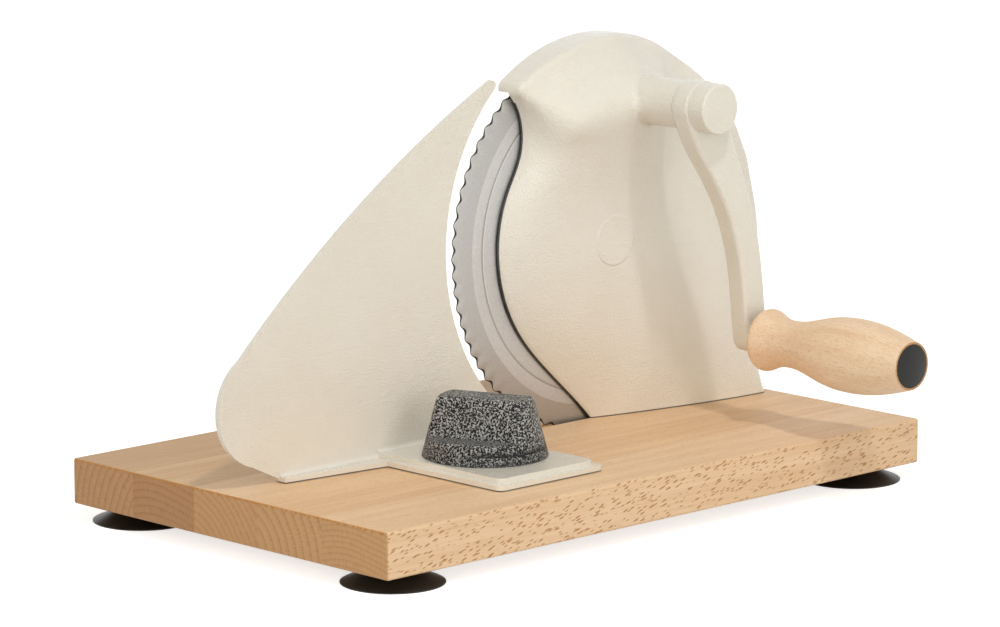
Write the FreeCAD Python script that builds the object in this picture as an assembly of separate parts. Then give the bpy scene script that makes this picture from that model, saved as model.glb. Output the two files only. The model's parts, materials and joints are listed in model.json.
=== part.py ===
"""Hand cranked bread slicer on a wooden board, as an assembly of separate pieces.

Millimetres, +Z up.  The pieces are drawn about the middle of the board, with Z = 0 on the surface that the
suction feet stand on, X along the board, and Y from the crank side (negative) to the loaf side (positive).
The loaf lies behind the blade and is pushed along +X.  The last step moves everything so that the origin
is under the middle of the whole object's box.
"""
import FreeCAD, Part
import math
import os
from FreeCAD import Vector

# ---------------------------------------------------------------- driving dimensions
# board: five staves glued edge to edge
board_length = 355.0
board_depth = 218.0
board_thickness = 22.0
board_edge_round = 1.2
stave_count = 5

# suction feet
foot_height = 8.0
foot_rim_radius = 24.0
foot_neck_radius = 10.0
foot_wall = 1.6
foot_bell_height = 5.0           # outside of the bell where it leaves the neck
foot_shoulder_height = 2.4       # and where it turns down to the lip
foot_shoulder_inset = 4.8
foot_lip_height = 0.9
foot_lip_width = 1.8
foot_lip_edge = 0.45
foot_end_distance = 24.0
foot_side_distance = 22.5
foot_screw_radius = 2.0
foot_screw_length = 16.0
foot_screw_head_radius = 4.2
foot_screw_head_height = 2.2
foot_screw_head_bevel = 1.0
foot_screw_point = 3.0
foot_washer_radius = 6.5
foot_washer_thickness = 1.0

# serrated blade
blade_radius = 95.0
blade_thickness = 1.4
blade_edge_thickness = 0.3
blade_bevel_width = 12.5
blade_tooth_count = 72
blade_scallop_depth = 1.8
blade_ring_radius = 75.8
blade_ring_width = 1.6
blade_ring_depth = 0.4
blade_x = 66.8
blade_height = 89.4              # axle above the board's top
blade_back_y = 6.8               # the cutting plane
blade_clearance = 2.1            # round the blade, in the hood and in the board's slot
blade_face_gap = 0.8             # between the blade's front and the housing's edge
slot_width = 4.8

# gear pair: the crank's pinion drives the gear on the blade
blade_gear_teeth = 48
gear_share = 1.0105              # the gear's pitch diameter as a share of the blade's radius
gear_module = round(blade_radius * gear_share / blade_gear_teeth, 2)
pinion_teeth = 22
pressure_angle = 20.0
flank_points = 4
gear_backlash = 0.30
gear_thickness = 4.4
gear_rivet_count = 6
gear_rivet_circle = 32.0
gear_rivet_radius = 2.0
rivet_head_radius = 3.6
rivet_head_height = 0.9
gear_window_count = 6
gear_window_radius = 5.5
gear_window_circle = 26.0
pinion_hub_radius = 10.0
pinion_hub_length = 6.8
pinion_face_width = 5.9
pinion_end_gap = 0.5             # between the pinion's end and the blade's front
pinion_pin_radius = 1.5
pin_sink = 0.2
crank_lean = 7.9                 # degrees that the crank's axis stands past the blade's, towards +X

# blade axle, bush and screw
axle_radius = 6.0
axle_root_radius = 5.0
axle_root_length = 6.2
axle_flange_radius = 11.0
axle_flange_thickness = 1.0
axle_boss_radius = 14.8
axle_boss_face_y = -0.6
bush_outer_radius = 8.5
bush_proud = 0.4
axial_play = 0.2
running_gap = 0.05
blade_screw_radius = 3.0
blade_screw_length = 12.0
blade_screw_head_radius = 13.0
blade_screw_head_height = 2.8
coin_slot_width = 2.4
coin_slot_depth = 1.2
thread_runout = 0.8
blade_screw_head_edge = 1.2

# housing: one thin casting, open at the back
housing_wall = 3.0
skin_rows = 14
skin_shares = [-0.04, -0.02, 0.0, 0.02, 0.045, 0.08, 0.13, 0.2, 0.3, 0.42, 0.55, 0.68, 0.81, 0.94, 1.07, 1.2,
               1.33, 1.48, 1.68, 1.95]   # where each ray's points lie, in hood radii
hood_back_y = 11.0
housing_edge_thickness = 1.4
housing_floor = 5.0
hood_round = 4.0
face_depth = 9.0                 # the front face stands this far forward of Y = 0 at mid height
face_bulge = 15.5                # and this much further at the crank's boss
face_bulge_left = 95.0
face_bulge_right = 38.0
face_bulge_height = 31.0
face_right_depth = 5.7           # the lower right corner stands this much further forward
face_right_width = 95.0
face_right_low = 40.0
face_right_fade = 90.0
shoulder_width = 27.0            # over this the face falls back to the hood's rim
rim_depths = [(-40, None), (-8, -12.5), (10, -9.5), (25, -8.0), (36, -6.0), (47, -0.9), (60, 2.7), (72, 1.8),
              (90, -6.0), (108, -7.0), (126, -5.0)]    # degrees from +X, and the rim's front along Y
skin_fade_top = 3.0              # how fast the face leaves its thin edge, at the nose and at the board
skin_fade_bottom = 38.2
skin_fade_power = 1.3
skin_fan_angle = 22.0            # degrees that the face's rays lean up beside the nose
skin_fan_low = 120.0
skin_fan_fade = 65.0
skin_margin = 12.0
beyond = 80.0                    # past the casting's front and back, for what is cut to its form
nose_angle = 124.4               # degrees from +X where the hood's rim ends in the nose
nose_depth = 7.6                 # from there down to the cutting edge's end, and back towards -X
nose_back = 1.7
nose_middle_depth = 3.7
nose_middle_back = 3.1
nose_thickness = 6.5             # how much thicker the casting's edge is at the nose
nose_swell_low = 146.0           # and the heights between which it gets so
nose_swell_height = 17.0
edge_points = [(61.9, 0.0), (32.3, 28.0), (9.3, 54.7), (-0.1, 91.5), (6.5, 118.0),
               (15.2, 136.0), (15.5, 150.0)]
side_points = [(165.4, 62.0), (163.8, 40.0), (166.3, 14.0), (172.0, 0.0)]
rib_thickness = 3.0
rib_top_y = -2.0
rib_directions = [(-90, 90), (-35, 100), (12, 97), (128, 90), (82.1, 44)]    # degrees and reach
housing_screw_radius = 2.5
housing_screw_length = 26.0
housing_screw_head_radius = 4.6
housing_screw_head_height = 3.0
housing_screw_recess = 6.5
screw_hole_gap = 0.25
screw_head_gap = 0.6
socket_radius = 2.4
housing_boss_radius = 5.5
housing_boss_height = 16.0
housing_screw_places = [(102.0, -0.5), (132.0, -3.0), (162.5, -3.5)]

# crank boss and shaft
crank_boss_radius = 11.9
crank_boss_end_y = -48.3
crank_boss_inner_y = -8.0
crank_inner_boss_radius = 11.0
boss_root_round = 4.0
shaft_radius = 5.0
shaft_thread_radius = 4.0
shaft_thread_length = 12.5
shaft_chamfer = 0.8
crank_bush_wall = 2.0
crank_bush_length = 13.0
crank_washer_thickness = 0.4
crank_washer_radius = 10.5
crank_end_gap = 0.1

# crank arm
hub_radius = 12.2
hub_length = 20.6
hub_edge_round = 1.2
arm_thickness = 11.0
arm_head_radius = 12.8
arm_edge_round = 2.2
arm_end_radius = 7.3
arm_end_boss_length = 4.6
arm_end_boss_radius = 7.0
arm_reach = 123.0                # from the crank's axis to the grip's
arm_angle = 18.0                 # degrees from straight down, towards +X
arm_head_left = 195.0            # degrees where the arm's edges leave the head and reach the end
arm_head_right = 35.0
arm_end_left = 188.0
arm_end_right = 6.6
arm_left_points = [(7.8, -38.2), (17.6, -55.5), (25.2, -78.0)]
arm_right_points = [(18.3, -12.8), (29.2, -39.3), (37.6, -64.0), (42.4, -92.0)]

# grip
grip_length = 93.5
grip_profile = [(0.0, 14.2), (1.6, 15.2), (5.0, 14.3), (11.0, 12.1), (18.0, 11.5), (25.0, 12.2),
                (36.0, 14.9), (47.0, 17.3), (57.5, 18.0), (69.5, 17.3), (82.0, 14.9)]
grip_end_radius = 11.6
grip_bore_radius = 4.3
grip_pin_radius = 4.0
grip_pin_head_radius = 6.6
grip_pin_head_height = 4.0
grip_pin_thread_radius = 3.0
grip_pin_thread_length = 11.0
grip_counterbore_radius = 7.6
grip_counterbore_depth = 14.0
grip_washer_thickness = 0.7
grip_washer_radius = 9.0
grip_gap = 0.3
cap_radius = 10.6
cap_thickness = 2.2
cap_dome = 1.3
cap_plug_length = 6.0
cap_plug_wall = 1.6

# guide plate that sets the slice, with its foot
slice_setting = 3.6              # how thick a slice the plate is set to
slice_maximum = 18.0
guide_thickness = 2.5
guide_cut_radius = 104.9
guide_cut_offset = 0.7           # the hollow edge's centre from the blade's axle, towards +X and up
guide_cut_raise = 4.7
guide_tip = (-7.4, 171.9)
guide_tip_radius = 2.4
guide_tip_turn = 116.0           # degrees where the long edge leaves the tip
guide_long_edge_middle = (-93.4, 121.8)
guide_shoulder = (-167.0, 59.9)
guide_corner_low = (-180.2, 37.0)
guide_corner_end = (-160.0, 9.6)
guide_heel = (-144.5, 2.2)
guide_right_end = 12.0
guide_edge_round = 0.8
flange_thickness = 2.5
flange_left = -143.5
flange_left_front = -3.4
flange_right_front = -10.0
flange_fillet = 4.0
foot_left = -85.5
foot_right = -17.5
foot_front = -85.8
foot_corner_round = 4.0
foot_step_inset = 3.4
foot_step_height = 2.5
guide_board_gap = 0.3
key_width = 20.0
key_depth = 3.5
key_length = 32.0
key_side_gap = 0.3

# clamp
clamp_x = -50.0
clamp_y = -39.0
clamp_bolt_radius = 4.0
clamp_bolt_head_radius = 9.0
clamp_bolt_head_height = 3.2
clamp_neck = 8.0
clamp_neck_length = 5.0
clamp_thread_reach = 17.0
clamp_recess_radius = 11.0
clamp_recess_depth = 5.5
clamp_bottom_washer_radius = 10.0
clamp_bottom_washer_thickness = 1.2
clamp_hole_gap = 0.4
clamp_washer_radius = 12.0
clamp_washer_thickness = 1.2
thread_gap = 0.08
knob_base_radius = 29.8
knob_top_radius = 22.5
knob_height = 28.0
knob_skirt_height = 9.5
knob_bar_foot = 26.0
knob_bar_top = 19.0
knob_round = 3.0
knob_base_gap = 0.3
knob_bar_turn = -67.0            # degrees about +Z that the grip bar is turned to
knob_wall = 3.0
knob_core_radius = 10.5
insert_radius = 7.0
insert_length = 15.0

# ---------------------------------------------------------------- derived places
deck = foot_height + board_thickness
stave_width = board_depth / stave_count
blade_z = deck + blade_height
blade_front_y = blade_back_y - blade_thickness
edge_back_y = blade_front_y - blade_face_gap
hood_inner_radius = blade_radius + blade_clearance
hood_radius = hood_inner_radius + housing_wall
nose_x = blade_x + hood_radius * math.cos(math.radians(nose_angle))
nose_height = blade_height + hood_radius * math.sin(math.radians(nose_angle))
nose_start = Vector(nose_x - nose_back, 0, nose_height - nose_depth)
nose_middle = Vector(nose_x - nose_middle_back, 0, nose_height - nose_middle_depth)
gear_back_y = blade_front_y
gear_front_y = gear_back_y - gear_thickness
axle_face_y = axle_boss_face_y + axle_flange_thickness
bush_front_y = axle_face_y + axial_play
bush_back_y = blade_back_y + bush_proud
axle_end_y = bush_back_y + axial_play
gear_distance = gear_module * (blade_gear_teeth + pinion_teeth) / 2
crank_x = blade_x + gear_distance * math.sin(math.radians(crank_lean))
crank_z = blade_z + gear_distance * math.cos(math.radians(crank_lean))
pinion_back_y = blade_front_y - pinion_end_gap
pinion_front_y = pinion_back_y - pinion_face_width
hub_back_y = crank_boss_end_y - crank_end_gap - crank_washer_thickness
hub_front_y = hub_back_y - hub_length
arm_front_y = hub_back_y - arm_thickness
grip_dx = arm_reach * math.sin(math.radians(arm_angle))
grip_dz = -arm_reach * math.cos(math.radians(arm_angle))
grip_x = crank_x + grip_dx
grip_z = crank_z + grip_dz
arm_end_y = arm_front_y - arm_end_boss_length
grip_base_y = arm_end_y - grip_washer_thickness - grip_gap
grip_tip_y = grip_base_y - grip_length
cap_tip_y = grip_tip_y - cap_dome
guide_back_y = blade_back_y - slice_setting
guide_front_y = guide_back_y - guide_thickness
guide_base_z = deck + guide_board_gap
foot_top_z = guide_base_z + flange_thickness + foot_step_height
slice_travel_out = slice_maximum - slice_setting
knob_base_z = foot_top_z + knob_base_gap
knob_seat_z = foot_top_z + clamp_washer_thickness
foot_places = [(sx * (board_length / 2 - foot_end_distance), sy * (board_depth / 2 - foot_side_distance))
               for sy in (-1, 1) for sx in (-1, 1)]
outline_left = min(-board_length / 2, guide_corner_low[0])
outline_back = max(0, foot_rim_radius - foot_side_distance) + board_depth / 2
datum_shift = Vector(-(outline_left + board_length / 2) / 2, -(cap_tip_y + outline_back) / 2, 0)


# ---------------------------------------------------------------- helpers
def turned_z(profile, x, y):
    """Solid of revolution about a vertical axis at (x, y), from (radius, z) corners."""
    wire = Part.makePolygon([Vector(r, 0, z) for r, z in profile + profile[:1]])
    solid = Part.Face(wire).revolve(Vector(0, 0, 0), Vector(0, 0, 1), 360)
    solid.translate(Vector(x, y, 0))
    return solid


def turned_y(profile, x, z):
    """Solid of revolution about an axis along Y at (x, z), from (radius, y) corners."""
    wire = Part.makePolygon([Vector(r, y, 0) for r, y in profile + profile[:1]])
    solid = Part.Face(wire).revolve(Vector(0, 0, 0), Vector(0, 1, 0), 360)
    solid.translate(Vector(x, 0, z))
    return solid


def rod_y(radius, y_from, y_to, x, z):
    """Plain cylinder along Y."""
    return Part.makeCylinder(radius, y_to - y_from, Vector(x, y_from, z), Vector(0, 1, 0))


def rod_z(radius, z_from, z_to, x, y):
    """Plain upright cylinder."""
    return Part.makeCylinder(radius, z_to - z_from, Vector(x, y, z_from))


def dome(radius, edge, height, y, x, z, direction):
    """Round head along Y: a disc with the edge thickness, raised in the middle to the height."""
    rise = height - edge
    sphere_radius = (radius ** 2 + rise ** 2) / (2 * rise)
    centre = Vector(x, y + direction * (height - sphere_radius), z)
    ball = Part.makeSphere(sphere_radius, centre)
    ends = sorted([y, y + direction * (height + 1)])
    return rod_y(radius, ends[0], ends[1], x, z).common(ball)


def block(x0, x1, y0, y1, z0, z1):
    """Box between two corners."""
    return Part.makeBox(x1 - x0, y1 - y0, z1 - z0, Vector(x0, y0, z0))


def prism_y(wire, y_from, y_to):
    """Extrude a closed wire that lies in the plane Y = 0."""
    face = Part.Face(wire)
    face.translate(Vector(0, y_from, 0))
    return face.extrude(Vector(0, y_to - y_from, 0))


def arc(a, b, c):
    """Edge of the circle through three points."""
    return Part.Arc(a, b, c).toShape()


def line(a, b):
    """Straight edge."""
    return Part.LineSegment(a, b).toShape()


def smooth_curve(points, start=None, end=None):
    """Edge of one smooth curve through the points, with its end directions where they are given."""
    curve = Part.BSplineCurve()
    if start is None or end is None:
        curve.interpolate(points)
    else:
        curve.interpolate(Points=points, InitialTangent=start, FinalTangent=end)
    return curve.toShape()


def polar(radius, degrees, x, z):
    """Point in the plane Y = 0 at an angle from +X about (x, z)."""
    angle = math.radians(degrees)
    return Vector(x + radius * math.cos(angle), 0, z + radius * math.sin(angle))


def round_edges(solid, radius, wanted):
    """Round the edges that the test picks."""
    edges = [edge for edge in solid.Edges if wanted(edge)]
    return solid.makeFillet(radius, edges)


def fuse(solids):
    """One solid from several that touch."""
    whole = solids[0].fuse(solids[1:]) if len(solids) > 1 else solids[0]
    return whole.removeSplitter()


def smooth_step(value):
    """0 below 0, 1 above 1, and smooth between."""
    t = min(max(value, 0.0), 1.0)
    return t * t * (3 - 2 * t)


# ---------------------------------------------------------------- board
def board_cuts():
    """Everything that is cut or drilled out of the board."""
    slot = rod_y(blade_radius + blade_clearance, blade_back_y - blade_thickness / 2 - slot_width / 2,
                 blade_back_y - blade_thickness / 2 + slot_width / 2, blade_x, blade_z)
    cuts = [slot]
    for x, y in foot_places:
        cuts.append(rod_z(foot_screw_radius, foot_height, foot_screw_top(), x, y))
    for x, y in housing_screw_places:
        cuts.append(rod_z(housing_screw_radius + screw_hole_gap, foot_height, deck, x, y))
        cuts.append(rod_z(housing_screw_head_radius + screw_head_gap, foot_height,
                          foot_height + housing_screw_recess, x, y))
    cuts.append(travel_slot(clamp_neck / 2 + key_side_gap, foot_height, deck))
    cuts.append(travel_slot(clamp_recess_radius, foot_height, foot_height + clamp_recess_depth))
    groove_front = clamp_y - key_length / 2 - slice_travel_out - key_side_gap
    groove_back = clamp_y + key_length / 2 + slice_setting + key_side_gap
    half = key_width / 2 + key_side_gap
    cuts.append(block(clamp_x - half, clamp_x + half, groove_front, groove_back, deck - key_depth, deck))
    return cuts


def travel_slot(radius, z_from, z_to):
    """Long hole in the board for the clamp bolt's travel, with room for its square neck at both ends."""
    front = clamp_y - slice_travel_out
    back = clamp_y + slice_setting
    return fuse([block(clamp_x - radius, clamp_x + radius, front - clamp_neck / 2 - key_side_gap,
                       back + clamp_neck / 2 + key_side_gap, z_from, z_to),
                 rod_z(radius, z_from, z_to, clamp_x, front), rod_z(radius, z_from, z_to, clamp_x, back)])


def board_staves():
    """The staves of the board, front to back, each a solid with its part of the holes and grooves."""
    x, y = board_length / 2, board_depth / 2
    board = block(-x, x, -y, y, foot_height, deck)
    board = board.makeFillet(board_edge_round, board.Edges)
    board = board.cut(board_cuts())
    staves = []
    for index in range(stave_count):
        front = -y + index * stave_width
        stave = board.common(block(-x, x, front, front + stave_width, foot_height, deck))
        staves.append(stave)
    return staves


# ---------------------------------------------------------------- suction feet
def foot_screw_top():
    """Height that the foot screws reach."""
    return foot_seat_z() + foot_washer_thickness + foot_screw_length


def foot_seat_z():
    """Underside of the washer in the cup's middle."""
    return foot_height - foot_wall - foot_washer_thickness


def suction_foot(x, y):
    """Rubber cup: a neck under the board, a shallow bell and a thin lip on the table."""
    ceiling = foot_height - foot_wall
    shoulder = foot_rim_radius - foot_shoulder_inset
    outside = [(foot_screw_radius, foot_height), (foot_neck_radius, foot_height),
               (foot_neck_radius + foot_wall / 2, foot_bell_height + foot_wall / 2),
               (foot_neck_radius + 2 * foot_wall, foot_bell_height),
               (shoulder, foot_shoulder_height), (foot_rim_radius - foot_wall / 2, foot_lip_height),
               (foot_rim_radius, foot_lip_edge), (foot_rim_radius, 0.0)]
    inside = [(foot_rim_radius - foot_lip_width, 0.0),
              (shoulder - foot_wall / 2, foot_shoulder_height - foot_wall * 0.8),
              (foot_washer_radius + foot_wall, foot_seat_z()), (foot_washer_radius + foot_wall / 4, ceiling),
              (foot_screw_radius, ceiling)]
    return turned_z(outside + inside, x, y)


def foot_washer(x, y):
    """Steel washer that spreads the screw's pull in the cup."""
    low = foot_seat_z()
    high = low + foot_washer_thickness
    return rod_z(foot_washer_radius, low, high, x, y).cut(rod_z(foot_screw_radius, low, high, x, y))


def foot_screw(x, y):
    """Pan head screw, up through the cup into the board."""
    seat = foot_seat_z()
    low = seat - foot_screw_head_height
    profile = [(0, low), (foot_screw_head_radius - foot_screw_head_bevel, low),
               (foot_screw_head_radius, low + foot_screw_head_bevel),
               (foot_screw_head_radius, seat), (foot_screw_radius, seat),
               (foot_screw_radius, foot_screw_top() - foot_screw_point), (0, foot_screw_top())]
    return turned_z(profile, x, y)


# ---------------------------------------------------------------- housing
def edge_curve(shift):
    """The casting's cutting edge, from the board up to the nose."""
    curve = Part.BSplineCurve()
    curve.interpolate([Vector(x, 0, z) + shift for x, z in edge_points] + [nose_start + shift])
    return curve


def outline_face(inset, floor):
    """The housing's outline seen from the front, drawn in by the inset and standing on the floor height."""
    radius = hood_radius - inset
    shift = Vector(inset, 0, deck)
    edge = edge_curve(shift)
    edge_foot = edge.value(edge.FirstParameter)
    nose_end = polar(radius, nose_angle, blade_x, blade_z)
    hood_right = Vector(blade_x + radius, 0, blade_z)
    hood_top = Vector(blade_x, 0, blade_z + radius)
    side = [hood_right] + [Vector(x - inset, 0, deck + z) for x, z in side_points]
    side_curve = smooth_curve(side, Vector(0, 0, -1), Vector(0.5, 0, -1))
    edges = [edge.toShape(), arc(nose_start + shift, nose_middle + shift, nose_end),
             arc(nose_end, hood_top, hood_right), side_curve, line(side[-1], edge_foot)]
    outline = Part.Face(Part.Wire(edges))
    if floor > 0:
        low = block(-board_length, board_length, -1, 1, deck - 1, deck + floor)
        outline = outline.cut(low)
    return outline


def face_y(x, height):
    """How far forward the middle of the front face stands at a place and a height above the board."""
    dx = x - crank_x
    dz = height - (crank_z - deck)
    spread = face_bulge_left if dx < 0 else face_bulge_right
    bulge = face_bulge * math.exp(-(dx / spread) ** 2 - (dz / face_bulge_height) ** 2)
    corner = smooth_step((x - blade_x) / face_right_width)
    corner *= 1 - smooth_step((height - face_right_low) / face_right_fade)
    face = -(face_depth + bulge + face_right_depth * corner)
    across, up = x - blade_x, height - blade_height
    share = smooth_step(1 - (hood_radius - math.hypot(across, up)) / shoulder_width)
    return face + (rim_y(math.degrees(math.atan2(up, across)), face) - face) * share


def rim_y(degrees, face):
    """The rim's front along Y at an angle; below the list's first angle it is the face's own."""
    low = rim_depths[0][0]
    if degrees < low or degrees > 180:
        return face
    knots = [(low, face)] + rim_depths[1:]
    for (first, a), (second, b) in zip(knots, knots[1:]):
        if degrees <= second:
            return a + (b - a) * smooth_step((degrees - first) / (second - first))
    return knots[-1][1]


def skin_points(inset):
    """Grid of points on the front face: rays fan out from the cutting edge of the casting to the right."""
    edge = edge_curve(Vector(0, 0, 0))
    first, last = edge.FirstParameter, edge.LastParameter
    end = edge.value(last)
    along = Vector(*edge.tangent(last)[0]).normalize()
    starts = [Vector(edge_points[0][0] + skin_margin, 0, -skin_margin)]
    starts += [edge.value(first + (last - first) * i / skin_rows) for i in range(skin_rows + 1)]
    starts += [end + along * (skin_margin * step / 4) for step in range(1, 8)]
    grid = []
    for start in starts:
        height = start.z
        rise = min(max(height, 0.0) / nose_start.z, 1.0)
        fade = skin_fade_top + (skin_fade_bottom - skin_fade_top) * (1 - rise) ** skin_fade_power
        tilt = math.radians(skin_fan_angle * smooth_step((height - skin_fan_low) / skin_fan_fade))
        front = edge_back_y - housing_edge_thickness
        front -= nose_thickness * smooth_step((height - nose_swell_low) / nose_swell_height)
        row = []
        for share in skin_shares:
            distance = share * hood_radius
            x = start.x + distance * math.cos(tilt)
            z = start.z + distance * math.sin(tilt)
            reach = (distance - inset) / fade
            depth = 1 - math.exp(-reach) if reach > 0 else reach
            row.append(Vector(x, front + (face_y(x, z) - front) * depth + inset, deck + z))
        grid.append(row)
    return grid


def skin_solid(inset):
    """Everything behind the front face, or behind the inside of its wall."""
    surface = Part.BSplineSurface()
    surface.interpolate(skin_points(inset))
    return surface.toShape().extrude(Vector(0, 2 * beyond, 0))


def housing_outer():
    """The casting's outside as a full body."""
    outline = outline_face(0.0, 0.0)
    outline.translate(Vector(0, -beyond, 0))
    body = outline.extrude(Vector(0, beyond + hood_back_y, 0))
    return body.common(skin_solid(0.0))


def housing_cavity():
    """The hollow inside the casting."""
    outline = outline_face(housing_wall, housing_floor)
    outline.translate(Vector(0, -beyond, 0))
    body = outline.extrude(Vector(0, 2 * beyond, 0))
    return body.common(skin_solid(housing_wall))


def largest_round(solid, radii, wanted):
    """Round the edges that the test picks, by the first of the radii that leaves a sound solid."""
    edges = [edge for edge in solid.Edges if wanted(edge)]
    for radius in radii:
        try:
            rounded = solid.makeFillet(radius, edges)
        except Part.OCCError:
            continue
        if rounded.isValid() and len(rounded.Solids) == 1 and rounded.Volume > solid.Volume / 2:
            return rounded.Solids[0]
    return solid


def housing_ribs():
    """Stiffening ribs on the inside of the front face, from the axle's boss outwards."""
    ribs = []
    for degrees, reach in rib_directions:
        rib = block(axle_boss_radius - 1, reach, -beyond, rib_top_y, -rib_thickness / 2, rib_thickness / 2)
        rib.rotate(Vector(0, 0, 0), Vector(0, 1, 0), -degrees)
        rib.translate(Vector(blade_x, 0, blade_z))
        ribs.append(rib)
    return ribs


def on_rim(edge):
    """Whether an edge of the full body runs along the hood's rim, down the right side or round the nose."""
    box = edge.BoundBox
    along = edge.Length > hood_radius / 2 and box.YMin < 0 and box.ZMax > deck + housing_boss_height
    nose = box.ZMin > deck + nose_start.z - 1
    return box.YMax < edge_back_y and (along or nose)


def housing():
    """The casting: skin, edge rounds, bosses, ribs, floor and every hole."""
    outer = housing_outer().Solids[0]
    outer = largest_round(outer, (hood_round, hood_round - 1), on_rim)
    boss = rod_y(crank_boss_radius, crank_boss_end_y, crank_boss_inner_y, crank_x, crank_z)
    outer = outer.fuse(boss).Solids[0]
    outer = largest_round(outer, (boss_root_round, boss_root_round - 1, boss_root_round - 2), lambda edge: (
        crank_boss_end_y + 2 < edge.BoundBox.YMin and edge.BoundBox.YMax < crank_boss_inner_y - 2
        and edge.Length > crank_boss_radius
        and all(abs(math.hypot(vertex.X - crank_x, vertex.Z - crank_z) - crank_boss_radius) < 0.1
                for vertex in edge.Vertexes)))
    shell = outer.cut(housing_cavity())
    inside = [rod_y(axle_boss_radius, -beyond, axle_boss_face_y, blade_x, blade_z),
              rod_y(crank_inner_boss_radius, -beyond, crank_boss_inner_y, crank_x, crank_z)]
    inside += [rod_z(housing_boss_radius, deck, deck + housing_boss_height, x, y)
               for x, y in housing_screw_places]
    inside += housing_ribs()
    inside = [solid.common(outer) for solid in inside]
    body = shell.fuse(inside)
    holes = [rod_y(hood_inner_radius, edge_back_y, beyond, blade_x, blade_z),
             rod_y(axle_root_radius, axle_boss_face_y - axle_root_length, 0, blade_x, blade_z),
             rod_y(shaft_radius + running_gap + crank_bush_wall, crank_boss_end_y - 1, 0, crank_x, crank_z)]
    for x, y in housing_screw_places:
        holes.append(rod_z(housing_screw_radius, deck - 1, housing_screw_top() + thread_runout, x, y))
    return body.cut(holes)


def housing_screw_top():
    """Height that the housing's screws reach."""
    return foot_height + housing_screw_recess + housing_screw_length


def housing_screws():
    """Socket head screws, up through the board into the casting."""
    seat = foot_height + housing_screw_recess
    screws = []
    for x, y in housing_screw_places:
        low = seat - housing_screw_head_height
        head = rod_z(housing_screw_head_radius, low, seat, x, y)
        shank = rod_z(housing_screw_radius, seat, housing_screw_top(), x, y)
        socket = Part.Face(Part.makePolygon([
            Vector(x + socket_radius * math.cos(math.radians(60 * i)),
                   y + socket_radius * math.sin(math.radians(60 * i)), low) for i in range(7)]))
        screws.append(fuse([head, shank]).cut(socket.extrude(Vector(0, 0, housing_screw_head_height / 2))))
    return screws


# ---------------------------------------------------------------- blade and its gear
def blade_axle():
    """Stub axle pressed into the casting's boss, with a flange that the bush runs against."""
    root_y = axle_boss_face_y - axle_root_length
    hole_end = axle_end_y - blade_screw_length - thread_runout
    profile = [(0, root_y), (axle_root_radius, root_y), (axle_root_radius, axle_boss_face_y),
               (axle_flange_radius, axle_boss_face_y), (axle_flange_radius, axle_face_y),
               (axle_radius, axle_face_y), (axle_radius, axle_end_y),
               (blade_screw_radius, axle_end_y), (blade_screw_radius, hole_end), (0, hole_end)]
    return turned_y(profile, blade_x, blade_z)


def blade_screw():
    """Domed screw with a coin slot that keeps the blade on its axle."""
    shank = rod_y(blade_screw_radius, axle_end_y - blade_screw_length, axle_end_y, blade_x, blade_z)
    head = dome(blade_screw_head_radius, blade_screw_head_edge, blade_screw_head_height,
                axle_end_y, blade_x, blade_z, 1)
    top = axle_end_y + blade_screw_head_height
    slot = block(blade_x - coin_slot_width / 2, blade_x + coin_slot_width / 2, top - coin_slot_depth, top + 1,
                 blade_z - blade_screw_head_radius - 1, blade_z + blade_screw_head_radius + 1)
    return fuse([shank, head]).cut(slot)


def blade():
    """Round blade with a scalloped edge, a ground bevel on the front and a turned ring inside it."""
    tips = [polar(blade_radius, 360.0 * i / blade_tooth_count, blade_x, blade_z)
            for i in range(blade_tooth_count + 1)]
    edges = []
    for i in range(blade_tooth_count):
        middle = polar(blade_radius - blade_scallop_depth, 360.0 * (i + 0.5) / blade_tooth_count,
                       blade_x, blade_z)
        edges.append(arc(tips[i], middle, tips[(i + 1) % blade_tooth_count]))
    outline = prism_y(Part.Wire(edges), blade_front_y, blade_back_y)
    bevel_radius = blade_radius - blade_bevel_width
    bevel_y = blade_back_y - blade_edge_thickness
    profile = [(bush_outer_radius, blade_front_y), (bevel_radius, blade_front_y), (blade_radius, bevel_y),
               (blade_radius, blade_back_y), (bush_outer_radius, blade_back_y)]
    disc = turned_y(profile, blade_x, blade_z)
    half = blade_ring_width / 2
    ring = turned_y([(blade_ring_radius - half, blade_front_y - 1),
                     (blade_ring_radius + half, blade_front_y - 1),
                     (blade_ring_radius + half, blade_front_y + blade_ring_depth),
                     (blade_ring_radius - half, blade_front_y + blade_ring_depth)], blade_x, blade_z)
    holes = rivet_rods(gear_rivet_radius, blade_front_y - 1, blade_back_y + 1)
    return disc.common(outline).cut([ring] + holes)


def rivet_rods(radius, y_from, y_to):
    """One cylinder for each rivet between the gear and the blade."""
    rods = []
    for i in range(gear_rivet_count):
        place = polar(gear_rivet_circle, 360.0 * i / gear_rivet_count, blade_x, blade_z)
        rods.append(rod_y(radius, y_from, y_to, place.x, place.z))
    return rods


def blade_rivets():
    """Rivets, flush with the gear and round headed on the blade's back."""
    rivets = []
    for i in range(gear_rivet_count):
        place = polar(gear_rivet_circle, 360.0 * i / gear_rivet_count, blade_x, blade_z)
        shank = rod_y(gear_rivet_radius, gear_front_y, blade_back_y, place.x, place.z)
        head = dome(rivet_head_radius, rivet_head_height / 3, rivet_head_height,
                    blade_back_y, place.x, place.z, 1)
        rivets.append(fuse([shank, head]))
    return rivets


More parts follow.
